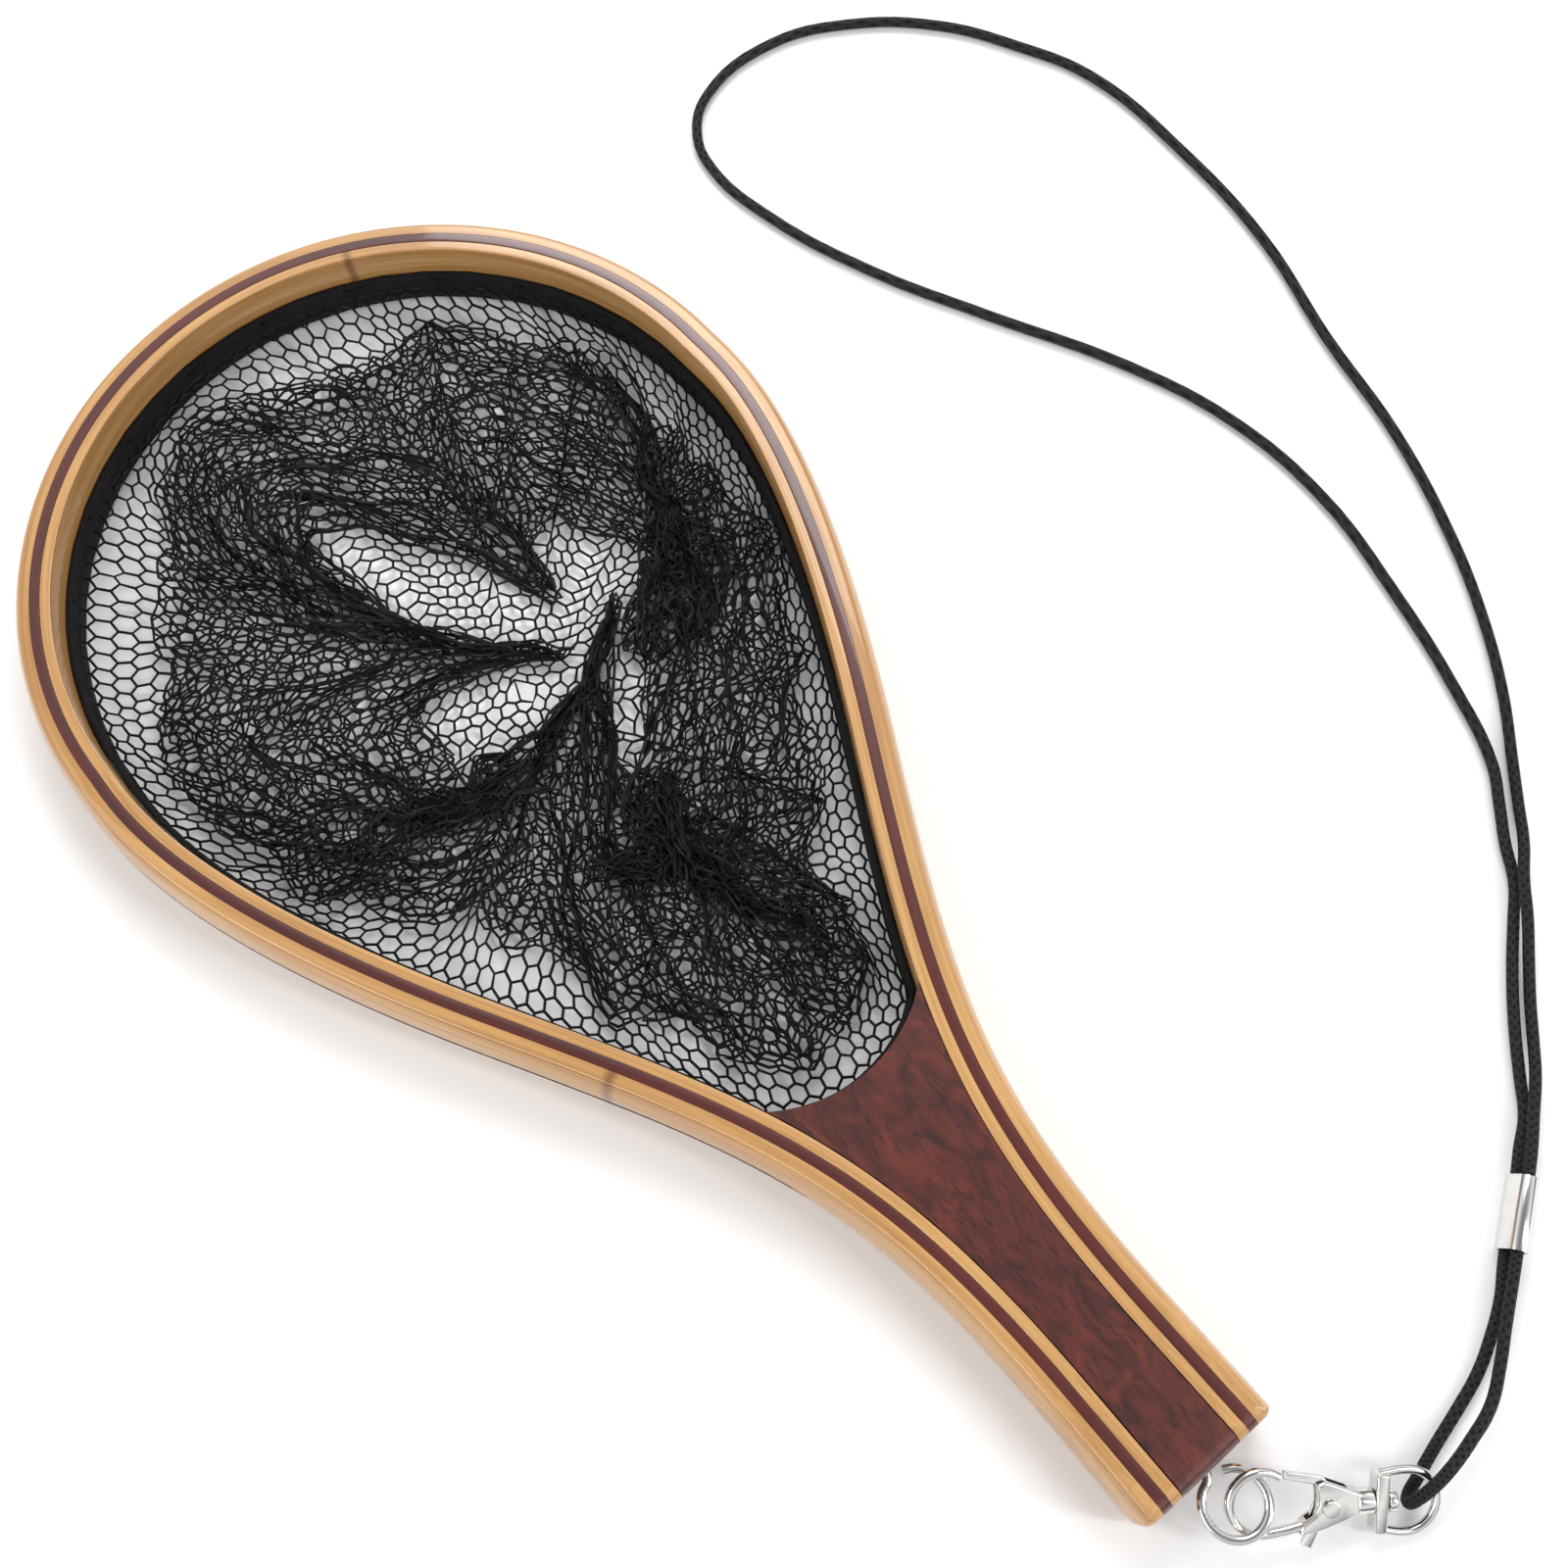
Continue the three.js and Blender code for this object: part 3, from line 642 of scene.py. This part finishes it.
def groove_cutter():
    top = GROOVE_Z + GROOVE_HALF
    bottom = GROOVE_Z - GROOVE_HALF
    outside = BACK_FLAT + BACK_BULGE + 0.002
    outline = [(GROOVE_BOTTOM, bottom), (outside, bottom), (outside, top), (GROOVE_BOTTOM, top)]
    return sweep(outline, groove_start, 1 - groove_start)


def butt_cutter():
    half_width = BUTT.y + BACK_FLAT + BACK_BULGE
    bpy.ops.mesh.primitive_cube_add(size=1, location=(0.028, 0, FRAME_DEPTH / 2))
    form = bpy.context.object
    form.scale = (0.06, 2 * half_width, FRAME_DEPTH)
    bpy.ops.object.transform_apply(location=True, rotation=True, scale=True)
    apply_modifier(form, "BEVEL", width=0.0035, segments=8, limit_method="NONE")
    bpy.ops.mesh.primitive_cube_add(size=1, location=(0.058, 0, FRAME_DEPTH / 2))
    block = bpy.context.object
    block.scale = (0.018, 0.06, 0.04)
    bpy.ops.object.transform_apply(location=True, rotation=True, scale=True)
    cut(block, form)
    remove(form)
    return block


butt_shape = butt_cutter()
groove = groove_cutter()
outer_strip = sweep(rounded_back())
cut(outer_strip, groove)
remove(groove)
middle_strip = sweep(rounded_block(-MIDDLE_HALF + GLUE, MIDDLE_HALF - GLUE, 0.00005))
inner_strip = sweep(rounded_block(INNER_FACE, -MIDDLE_HALF - GLUE))
core = copy_of_node("handle_core")
for piece in (outer_strip, middle_strip, inner_strip, core):
    cut(piece, butt_shape)
    smooth(piece, 30)
remove(butt_shape)
finish_piece(outer_strip, "bamboo_outer_strip", "frame", outer_bamboo, "pale_wood", "outer_ply")
finish_piece(middle_strip, "red_middle_strip", "frame", red_strip, "red_wood", "middle_ply")
finish_piece(inner_strip, "bamboo_inner_strip", "frame", inner_bamboo, "pale_wood", "inner_ply")
finish_piece(core, "burl_core", "frame", burl, "burl_wood", "handle_core")

# %% [markdown]
# The mouth's rim is the frame's line moved inwards, closed by the throat's arc. The bag is laid out
# from it, so the bag always meets the hem.

# %% The mouth's rim
THROAT_X = -0.096
THROAT_RADIUS = 0.039
HEM_FACE = 0.00605


def rim_points():
    arc_radius = THROAT_RADIUS - (HEM_FACE + INNER_FACE)
    inside = []
    for before, point, after in zip(line_points, line_points[1:], line_points[2:]):
        run = (after - before).normalized()
        moved = point + Vector((run.y, -run.x)) * HEM_FACE
        if moved.x < THROAT_X or (moved - Vector((THROAT_X, 0))).length < arc_radius:
            inside.append(moved)
    start = math.atan2(inside[-1].y, inside[-1].x - THROAT_X)
    for i in range(1, 24):
        angle = start * (1 - 2 * i / 24)
        inside.append(Vector((THROAT_X + arc_radius * math.cos(angle), arc_radius * math.sin(angle))))
    return inside


rim = rim_points()
rim_steps = [0.0]
for a, b in zip(rim, rim[1:] + rim[:1]):
    rim_steps.append(rim_steps[-1] + (b - a).length)
rim_length = rim_steps[-1]


def rim_at(distance):
    distance %= rim_length
    low, high = 0, len(rim)
    while high - low > 1:
        middle = (low + high) // 2
        if rim_steps[middle] <= distance:
            low = middle
        else:
            high = middle
    share = (distance - rim_steps[low]) / max(rim_steps[low + 1] - rim_steps[low], 1e-9)
    return rim[low].lerp(rim[(low + 1) % len(rim)], share)


rim_low, rim_high = min(p.x for p in rim), max(p.x for p in rim)
print("rim", round(rim_length, 4), "m, x from", round(rim_low, 4), "to", round(rim_high, 4))

# %% [markdown]
# The bag is a knitted tube with a flat bottom, of the mouth's own outline. It lies crumpled in the hoop,
# and knitting hardly stretches, so a folded shape made by a formula alone would be too short or too
# long all over. Here the formula only says roughly where the folds go: inwards from the hem, back out,
# and across the bottom. Cloth then keeps the lengths, because its rest shape is the upright bag as cut,
# while a fence, the ground and a lid keep it inside the hoop. The lid is only a help that makes the bag
# lie low. Layers may pass through each other, which thin black strands hide. It is all worked out at
# ten times the size, where Blender's collisions are at their best.

# %% Two shapes of the coarse bag
MESH_PITCH = 0.0048
WALL_DEPTH = 0.180
SIM_SCALE = 10
SIM_COLUMNS = 160
SIM_ROWS = 34
SIM_RINGS = 14
SIM_FRAMES = 30
HEM_BOTTOM = 0.006
FOLD_TURN = 0.52
FOLD_REACH = 0.86
BACK_SHARE = 0.85
TURN_VARIES = 0.12
REACH_VARIES = 0.55
RUFFLE = 0.008
RUFFLE_STARTS = 6
LAYER_HEIGHT = 0.0065
LAYER_VARIES = 0.0045
bottom_middle = Vector((-0.195, 0.0))
heap_middle = Vector((-0.176, 0.022))
HEAP_SPREAD = 0.075


def noise_at(x, y, z):
    return noise.noise(Vector((x, y, z)))


def column_place(column):
    return rim_at(column / SIM_COLUMNS * rim_length)


def cut_places():
    """Rows up the wall, then rings across the bottom to its middle."""
    places = []
    for row in range(SIM_ROWS + 1):
        for column in range(SIM_COLUMNS):
            places.append(Vector((*column_place(column), HEM_BOTTOM + WALL_DEPTH * row / SIM_ROWS)))
    for ring in range(1, SIM_RINGS + 1):
        for column in range(SIM_COLUMNS):
            place = column_place(column).lerp(bottom_middle, ring / (SIM_RINGS + 0.5))
            places.append(Vector((*place, HEM_BOTTOM + WALL_DEPTH)))
    return places


def folded_wall_place(column, row):
    """Roughly where a point of the wall lies, with uneven folds."""
    place = column_place(column)
    if row == 0:
        return Vector((*place, HEM_BOTTOM))
    share = row / SIM_ROWS
    turn = FOLD_TURN + TURN_VARIES * noise_at(place.x * 14, place.y * 14, 3)
    reach = FOLD_REACH * (1 + REACH_VARIES * noise_at(place.x * 17, place.y * 17, 9))
    if share < turn:
        inwards = reach * share / turn
    else:
        inwards = reach * (1 - (share - turn) / (1 - turn) * BACK_SHARE)
    astray = Vector((noise_at(place.x * 12, place.y * 12, 50), noise_at(place.x * 12, place.y * 12, 70)))
    inside = place.lerp(heap_middle + astray * HEAP_SPREAD, inwards)
    sideways = RUFFLE * min(1, RUFFLE_STARTS * share)
    inside.x += sideways * noise_at(column * 0.31, row * 0.4, 20)
    inside.y += sideways * noise_at(column * 0.31, row * 0.4, 40)
    return Vector((*inside, LAYER_HEIGHT + LAYER_VARIES * noise_at(column * 0.9, row * 0.35, 0)))


def folded_places():
    places = [folded_wall_place(column, row)
              for row in range(SIM_ROWS + 1) for column in range(SIM_COLUMNS)]
    edge = places[-SIM_COLUMNS:]
    for ring in range(1, SIM_RINGS + 1):
        for start in edge:
            place = start.xy.lerp(bottom_middle, ring / (SIM_RINGS + 0.5))
            places.append(Vector((*place, 0.004 + 0.002 * noise_at(place.x * 90, place.y * 90, 0))))
    return places


# %% Letting the cloth find its folds
FENCE_SIDES = 160
LID_HEIGHT = 0.013
GROUND_HEIGHT = 0.0006
FENCE_GAP = 0.0014
FENCE_BOTTOM = -0.004
FENCE_TOP = 0.03


def coarse_bag():
    faces = []
    for row in range(SIM_ROWS + SIM_RINGS):
        low = row * SIM_COLUMNS
        for column in range(SIM_COLUMNS):
            beside = (column + 1) % SIM_COLUMNS
            over = low + SIM_COLUMNS
            faces.append((low + column, low + beside, over + beside, over + column))
    last = (SIM_ROWS + SIM_RINGS) * SIM_COLUMNS
    faces.append(tuple(range(last, last + SIM_COLUMNS)))
    data = bpy.data.meshes.new("coarse_bag")
    data.from_pydata([place * SIM_SCALE for place in folded_places()], [], faces)
    bag = bpy.data.objects.new("coarse_bag", data)
    bpy.context.collection.objects.link(bag)
    bag.shape_key_add(name="folded")
    cut_shape = bag.shape_key_add(name="as_cut")
    for point, place in zip(cut_shape.data, cut_places()):
        point.co = place * SIM_SCALE
    bag.vertex_groups.new(name="hem").add(list(range(SIM_COLUMNS)), 1.0, "ADD")
    return bag, cut_shape


def walls_of_the_room():
    """A fence just outside the rim, the ground and a lid."""
    low, high = [], []
    for i in range(FENCE_SIDES):
        here = rim_at(i / FENCE_SIDES * rim_length)
        run = (rim_at((i + 1) / FENCE_SIDES * rim_length) - here).normalized()
        place = here + Vector((-run.y, run.x)) * FENCE_GAP
        low.append(Vector((*place, FENCE_BOTTOM)) * SIM_SCALE)
        high.append(Vector((*place, FENCE_TOP)) * SIM_SCALE)
    faces = [(i, (i + 1) % FENCE_SIDES, FENCE_SIDES + (i + 1) % FENCE_SIDES, FENCE_SIDES + i)
             for i in range(FENCE_SIDES)]
    data = bpy.data.meshes.new("fence")
    data.from_pydata(low + high, [], faces)
    fence = bpy.data.objects.new("fence", data)
    bpy.context.collection.objects.link(fence)
    solids = [fence]
    for height in (GROUND_HEIGHT, LID_HEIGHT):
        place = (bottom_middle.x * SIM_SCALE, 0, height * SIM_SCALE)
        bpy.ops.mesh.primitive_plane_add(size=8, location=place)
        solids.append(bpy.context.object)
    for solid in solids:
        solid.modifiers.new("solid", "COLLISION")
        solid.collision.thickness_outer = 0.006
        solid.collision.cloth_friction = 4
    return solids


def settle_bag():
    """The resting places of the coarse bag's points, in metres."""
    bag, cut_shape = coarse_bag()
    solids = walls_of_the_room()
    cloth = bag.modifiers.new("cloth", "CLOTH")
    settings = cloth.settings
    settings.rest_shape_key = cut_shape
    settings.quality = 8
    settings.mass = 0.15
    settings.tension_stiffness = settings.compression_stiffness = 30
    settings.tension_damping = settings.compression_damping = settings.shear_damping = 15
    settings.shear_stiffness = 6
    settings.bending_stiffness = 0.05
    settings.air_damping = 4
    settings.vertex_group_mass = "hem"
    cloth.collision_settings.distance_min = 0.006
    cloth.collision_settings.use_self_collision = False
    scene = bpy.context.scene
    for frame_number in range(1, SIM_FRAMES + 1):
        scene.frame_set(frame_number)
    evaluated = bag.evaluated_get(bpy.context.evaluated_depsgraph_get())
    places = [vertex.co / SIM_SCALE for vertex in evaluated.data.vertices]
    scene.frame_set(1)
    for piece in (bag, *solids):
        remove(piece)
    return places


def edges_length(places):
    """The length of all rows and columns of the coarse bag's wall together."""
    total = 0.0
    for row in range(SIM_ROWS):
        for column in range(SIM_COLUMNS):
            here = places[row * SIM_COLUMNS + column]
            total += (places[row * SIM_COLUMNS + (column + 1) % SIM_COLUMNS] - here).length
            total += (places[(row + 1) * SIM_COLUMNS + column] - here).length
    return total


bag_places = settle_bag()
kept_length = edges_length(bag_places) / edges_length(cut_places())
bag_low, bag_high = min(p.z for p in bag_places), max(p.z for p in bag_places)
print("folded wall keeps", round(kept_length, 3), "of its length as cut")
print("bag lies from", round(bag_low, 4), "to", round(bag_high, 4), "m")

# %% [markdown]
# A point of the flat cloth is looked up between the coarse bag's rows and columns.

# %% Places on the folded bag
rim_turns = [(math.atan2(p.y - bottom_middle.y, p.x - bottom_middle.x) % (2 * math.pi), rim_steps[i])
             for i, p in enumerate(rim)]
rim_turns.sort()


def on_bag(column, row):
    row = min(max(row, 0.0), SIM_ROWS + SIM_RINGS - 1e-6)
    across, down = column % SIM_COLUMNS, int(row)
    left = int(across)
    corners = [bag_places[(down + i) * SIM_COLUMNS + (left + j) % SIM_COLUMNS]
               for i in (0, 1) for j in (0, 1)]
    upper = corners[0].lerp(corners[1], across - left)
    lower = corners[2].lerp(corners[3], across - left)
    return upper.lerp(lower, row - down)


def wall_place(distance, depth):
    return on_bag(distance / rim_length * SIM_COLUMNS, depth / WALL_DEPTH * SIM_ROWS)


def rim_distance_towards(spoke):
    """How far round the rim a line from the bottom's middle meets it."""
    turn = math.atan2(spoke.y, spoke.x) % (2 * math.pi)
    low, high = 0, len(rim_turns) - 1
    if turn <= rim_turns[0][0] or turn >= rim_turns[-1][0]:
        return rim_turns[0][1]
    while high - low > 1:
        middle = (low + high) // 2
        if rim_turns[middle][0] <= turn:
            low = middle
        else:
            high = middle
    (turn_low, first), (turn_high, second) = rim_turns[low], rim_turns[high]
    step = (second - first + rim_length / 2) % rim_length - rim_length / 2
    return first + step * (turn - turn_low) / max(turn_high - turn_low, 1e-9)


def bottom_place(flat):
    spoke = flat - bottom_middle
    if spoke.length < 1e-6:
        return on_bag(0, SIM_ROWS + SIM_RINGS)
    distance = rim_distance_towards(spoke)
    out = min(1.0, spoke.length / (rim_at(distance) - bottom_middle).length)
    return on_bag(distance / rim_length * SIM_COLUMNS, SIM_ROWS + (1 - out) * (SIM_RINGS + 0.5))


# %% [markdown]
# The knitting is a sheet of hexagons. A Wireframe modifier turns each edge into a strand with four
# sides, which keeps thousands of cells light enough. The real joints are a little webbed, and these
# aren't. The knitting is also laid out flat and measured, so that the folded bag can be compared with
# the thread that went into it: an open cloth has less thread than its outline has area.

# %% Knitting
def hexagon_mesh(name, centres, place, wrap=None):
    """One face for each centre. Corners that fall together on the flat cloth are shared."""
    corners = {}
    places = []
    faces = []
    radius = MESH_PITCH / math.sqrt(3)
    for centre in centres:
        face = []
        for k in range(6):
            angle = math.radians(30 + 60 * k)
            x = centre.x + radius * math.cos(angle)
            y = centre.y + radius * math.sin(angle)
            if wrap:
                x %= wrap
                x = 0.0 if wrap - x < 1e-5 else x
            key = (round(x * 2e4), round(y * 2e4))
            if key not in corners:
                corners[key] = len(places)
                places.append(place(Vector((x, y))))
            face.append(corners[key])
        if len(set(face)) == 6:
            faces.append(face)
    data = bpy.data.meshes.new(name)
    data.from_pydata(places, [], faces)
    piece = bpy.data.objects.new(name, data)
    bpy.context.collection.objects.link(piece)
    return piece


def hexagon_centres(width, depth, start=Vector((0, 0)), wanted=lambda centre: True):
    row_step = MESH_PITCH * math.sqrt(3) / 2
    centres = []
    for row in range(int(depth / row_step)):
        for column in range(round(width / MESH_PITCH)):
            centre = start + Vector(((column + row % 2 / 2) * MESH_PITCH, row * row_step))
            if wanted(centre):
                centres.append(centre)
    return centres


def inside_rim(point):
    crossings = 0
    for a, b in zip(rim, rim[1:] + rim[:1]):
        if (a.y > point.y) != (b.y > point.y):
            if point.x < a.x + (point.y - a.y) / (b.y - a.y) * (b.x - a.x):
                crossings += 1
    return crossings % 2 == 1


def knit(piece, thickness):
    apply_modifier(piece, "WIREFRAME", thickness=thickness, use_even_offset=False, use_boundary=True)
    smooth(piece, 60)


def thread_area(piece):
    return sum(face.area for face in piece.data.polygons) / 2


def knitted_flat_area(name, centres, wrap=None):
    """The same knitting laid out flat, measured before any of it is folded."""
    piece = hexagon_mesh(name, centres, lambda p: Vector((p.x, p.y, 0.0)), wrap)
    knit(piece, STRAND)
    area = thread_area(piece)
    remove(piece)
    return area


STRAND = 0.0009
columns = round(rim_length / MESH_PITCH)
tube_width = columns * MESH_PITCH
wall_cells = hexagon_centres(tube_width, WALL_DEPTH)
BOTTOM_CORNER = Vector((-0.336, -0.094))
bottom_cells = hexagon_centres(0.28, 0.188, BOTTOM_CORNER, inside_rim)
wall_thread = knitted_flat_area("flat_wall", wall_cells)
bottom_thread = knitted_flat_area("flat_bottom", bottom_cells)
cell_area = MESH_PITCH ** 2 * math.sqrt(3) / 2
print("thread covers", round(wall_thread / (len(wall_cells) * cell_area), 3), "of the flat wall")

bag_wall = hexagon_mesh(
    "bag_wall", wall_cells,
    lambda p: wall_place(p.x * rim_length / tube_width, max(p.y, 0.0)), wrap=tube_width)
bag_bottom = hexagon_mesh("bag_bottom", bottom_cells, bottom_place)
knit(bag_wall, STRAND)
knit(bag_bottom, STRAND)
print("folded over flat thread:", round(thread_area(bag_wall) / wall_thread, 3), "wall,",
      round(thread_area(bag_bottom) / bottom_thread, 3), "bottom")
finish_piece(bag_wall, "bag_wall", "frame", net_nylon, "black_net", "net_bag")
finish_piece(bag_bottom, "bag_bottom", "frame", net_nylon, "black_net", "net_bag")

# %% [markdown]
# The hem is a soft tape, so its faces are divided and shifted a little. The lashing line lies in the
# groove of the outer strip.

# %% Hem and lashing
hem = copy_of_node("net_hem")
apply_modifier(hem, "SUBSURF", subdivision_type="SIMPLE", levels=1, render_levels=1)
hem_clouds = bpy.data.textures.new("hem_clouds", "CLOUDS")
hem_clouds.noise_scale = 0.006
apply_modifier(hem, "DISPLACE", texture=hem_clouds, texture_coords="GLOBAL", strength=0.0006)
smooth(hem, 60)
finish_piece(hem, "hem_tape", "frame", hem_tape, "black_tape", "net_hem")

LASHING_RADIUS = 0.0006
lashing_out = GROOVE_BOTTOM + 0.0003 + LASHING_RADIUS
lashing_outline = [
    (lashing_out + LASHING_RADIUS * math.cos(math.radians(30 * i)),
     GROOVE_Z + LASHING_RADIUS * math.sin(math.radians(30 * i))) for i in range(12)]
lashing_start = groove_start + 0.004 / line_length
lashing = sweep(lashing_outline, lashing_start, 1 - lashing_start)
smooth(lashing, 60)
finish_piece(lashing, "lashing_line", "frame", cord_nylon, "black_cord", "lashing_cord")

# %% [markdown]
# The clasp's own directions come from the joints: one along it to the swivel, one through its rivet.

# %% The clasp's directions
joints = {joint["name"]: joint for joint in frame["record"]["behaviour"]["joints"]}
clasp_long = Vector(joints["swivel_turn"]["axis"]).normalized()
clasp_up = Vector(joints["trigger_pull"]["axis"]).normalized()
clasp_side = clasp_up.cross(clasp_long)
rivet_place = Vector(joints["trigger_pull"]["pos_m"])
clasp_middle = rivet_place - clasp_long * 0.0155 + clasp_side * 0.0006
clasp_turn = Matrix((clasp_long, clasp_side, clasp_up)).transposed().to_4x4()
clasp_matrix = Matrix.Translation(clasp_middle) @ clasp_turn


def on_clasp(x, y, z=0.0):
    return clasp_matrix @ Vector((x * MM, y * MM, z * MM))


def plate_piece(outline, thickness, bevel):
    """A flat plate on the clasp, extruded from its outline and bevelled. Sizes in millimetres."""
    low = -thickness / 2
    data = bpy.data.meshes.new("plate")
    data.from_pydata([on_clasp(x, y, low) for x, y in outline], [], [list(range(len(outline)))])
    piece = bpy.data.objects.new("plate", data)
    bpy.context.collection.objects.link(piece)
    only(piece)
    bpy.ops.object.mode_set(mode="EDIT")
    bpy.ops.mesh.select_all(action="SELECT")
    bpy.ops.mesh.extrude_region_move(
        TRANSFORM_OT_translate={"value": clasp_up * thickness * MM, "orient_type": "GLOBAL"})
    bpy.ops.object.mode_set(mode="OBJECT")
    clean(piece)
    apply_modifier(piece, "BEVEL", width=bevel * MM, segments=3, angle_limit=math.radians(40))
    return piece


def round_piece(start, end, radius, bevel=0.2, sides=40):
    """A cylinder between two places on the clasp, with its edges eased."""
    a, b = on_clasp(*start), on_clasp(*end)
    bpy.ops.mesh.primitive_cylinder_add(vertices=sides, radius=radius * MM, depth=(b - a).length)
    piece = bpy.context.object
    turn = (b - a).to_track_quat("Z", "Y").to_matrix().to_4x4()
    piece.matrix_world = Matrix.Translation((a + b) / 2) @ turn
    only(piece)
    bpy.ops.object.transform_apply(location=True, rotation=True, scale=True)
    if bevel:
        apply_modifier(piece, "BEVEL", width=bevel * MM, segments=3, angle_limit=math.radians(40))
    return piece


def union(first, *others):
    for other in others:
        cut(first, other, "UNION")
        remove(other)
    smooth(first, 30)
    return first


# %% [markdown]
# The screw eye is one wire: a shank in the butt, a neck and an almost closed ring.

# %% The screw eye
eye_middle = Vector(joints["clasp_swing"]["pos_m"])
EYE_RING = 0.00745
EYE_WIRE = 0.00115


def eye_points():
    points = [Vector((x, y, eye_middle.z)) for x, y in
              ((0.040, 0.0), (0.048, 0.0), (0.054, 0.0), (0.0584, -0.0002), (0.0601, -0.0015))]
    for degrees in range(210, 519, 22):
        angle = math.radians(degrees)
        points.append(eye_middle + Vector((math.cos(angle), math.sin(angle), 0)) * EYE_RING)
    return points


screw_eye = wire("screw_eye_wire", eye_points(), EYE_WIRE)
finish_piece(screw_eye, "screw_eye_wire", "frame", nickel, "nickel", "screw_eye")

# %% [markdown]
# The clasp: a hook of round wire runs into a flat body with a slot for the trigger, and a collar.

# %% The snap clasp
HOOK_RADIUS = 7.2
HOOK_WIRE = 0.0012


def hook_points():
    points = []
    for degrees in range(58, 263, 17):
        angle = math.radians(degrees)
        points.append(on_clasp(HOOK_RADIUS * math.cos(angle), HOOK_RADIUS * math.sin(angle)))
    return points + [on_clasp(4.6, -6.6), on_clasp(9.4, -5.4), on_clasp(11.4, -4.8)]


body_outline = [
    (8.8, -6.9), (14, -5.7), (19, -3.7), (23, -2.4), (23, 2.4), (19, 3.8),
    (14.5, 5.4), (12.2, 4.6), (12.7, 2.4), (12.9, 0), (12.1, -2.4), (9.6, -4.1),
]
clasp_body = union(
    plate_piece(body_outline, 4, 0.5),
    wire("hook", hook_points(), HOOK_WIRE),
    round_piece((22, 0, 0), (25.6, 0, 0), 2.9))
slot_cutter = plate_piece([(10.4, -10), (19.6, -10), (19.6, 10), (10.4, 10)], 2.0, 0.05)
cut(clasp_body, slot_cutter)
remove(slot_cutter)
smooth(clasp_body, 30)
finish_piece(clasp_body, "clasp_shell", "clasp", nickel, "nickel", "clasp_body")

trigger_outline = [
    (4.9, 5.6), (12.6, 4.3), (13.0, 1.4), (12.8, -1.4), (11.5, -5.2), (9.7, -9.4), (11.9, -10.4),
    (14.0, -5.4), (16.2, -3.0), (17.7, -1.6), (17.9, 0.3), (17.0, 1.6), (15.4, 4.6), (13.8, 6.2),
    (4.9, 7.5),
]
trigger = plate_piece(trigger_outline, 1.4, 0.25)
smooth(trigger, 30)
finish_piece(trigger, "trigger_lever", "trigger", nickel, "nickel", "clasp_trigger")

rivet = union(
    round_piece((15.5, -0.6, -2.4), (15.5, -0.6, 2.4), 1.0, 0),
    round_piece((15.5, -0.6, 2.3), (15.5, -0.6, 3.0), 2.0, 0.25),
    round_piece((15.5, -0.6, -3.0), (15.5, -0.6, -2.3), 2.0, 0.25))
finish_piece(rivet, "rivet_pin", "clasp", nickel, "nickel", "trigger_rivet")

spring = copy_of_node("trigger_spring")
apply_modifier(spring, "BEVEL", width=0.0001, segments=2, limit_method="NONE")
finish_piece(spring, "spring_leaf", "clasp", spring_steel, "spring_steel", "trigger_spring")

post = union(
    round_piece((23, 0, 0), (29.7, 0, 0), 1.4, 0),
    round_piece((29.2, 0, 0), (31.2, 0, 0), 2.5, 0.5))
finish_piece(post, "swivel_post", "clasp", nickel, "nickel", "swivel_rivet")

# %% [markdown]
# The swivel eye is a bow of wire on a thick end plate, and the ferrule squeezes the two strands.

# %% Swivel eye and ferrule
BOW_MIDDLE = 33.6
BOW_RADIUS = 7.3
BOW_WIRE = 0.0011


def bow_points():
    points = [on_clasp(27.4, 6.5)]
    for i in range(9):
        angle = math.radians(90 - 22.5 * i)
        points.append(on_clasp(BOW_MIDDLE + BOW_RADIUS * math.cos(angle), BOW_RADIUS * math.sin(angle)))
    return points + [on_clasp(27.4, -6.5)]


end_plate = plate_piece([(25.9, -6.9), (28.9, -6.9), (28.9, 6.9), (25.9, 6.9)], 4.8, 0.6)
swivel_eye = union(end_plate, wire("bow", bow_points(), BOW_WIRE))
post_hole = round_piece((24, 0, 0), (31, 0, 0), 1.7, 0)
cut(swivel_eye, post_hole)
remove(post_hole)
smooth(swivel_eye, 30)
finish_piece(swivel_eye, "swivel_bow", "swivel", nickel, "nickel", "swivel_eye")

ferrule = copy_of_node("crimp")
apply_modifier(ferrule, "BEVEL", width=0.00015, segments=2, angle_limit=math.radians(40))
smooth(ferrule, 30)
finish_piece(ferrule, "crimped_ferrule", "swivel", nickel, "nickel", "crimp")

lanyard = wire("lanyard_cord", cord_points, cord_diameter / 2, sides=3, steps=6)
finish_piece(lanyard, "lanyard_cord", "swivel", cord_nylon, "black_cord",
             "cord_hitch", "cord_right_strand", "cord_left_strand", "cord_loop")
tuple(cord_points[0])
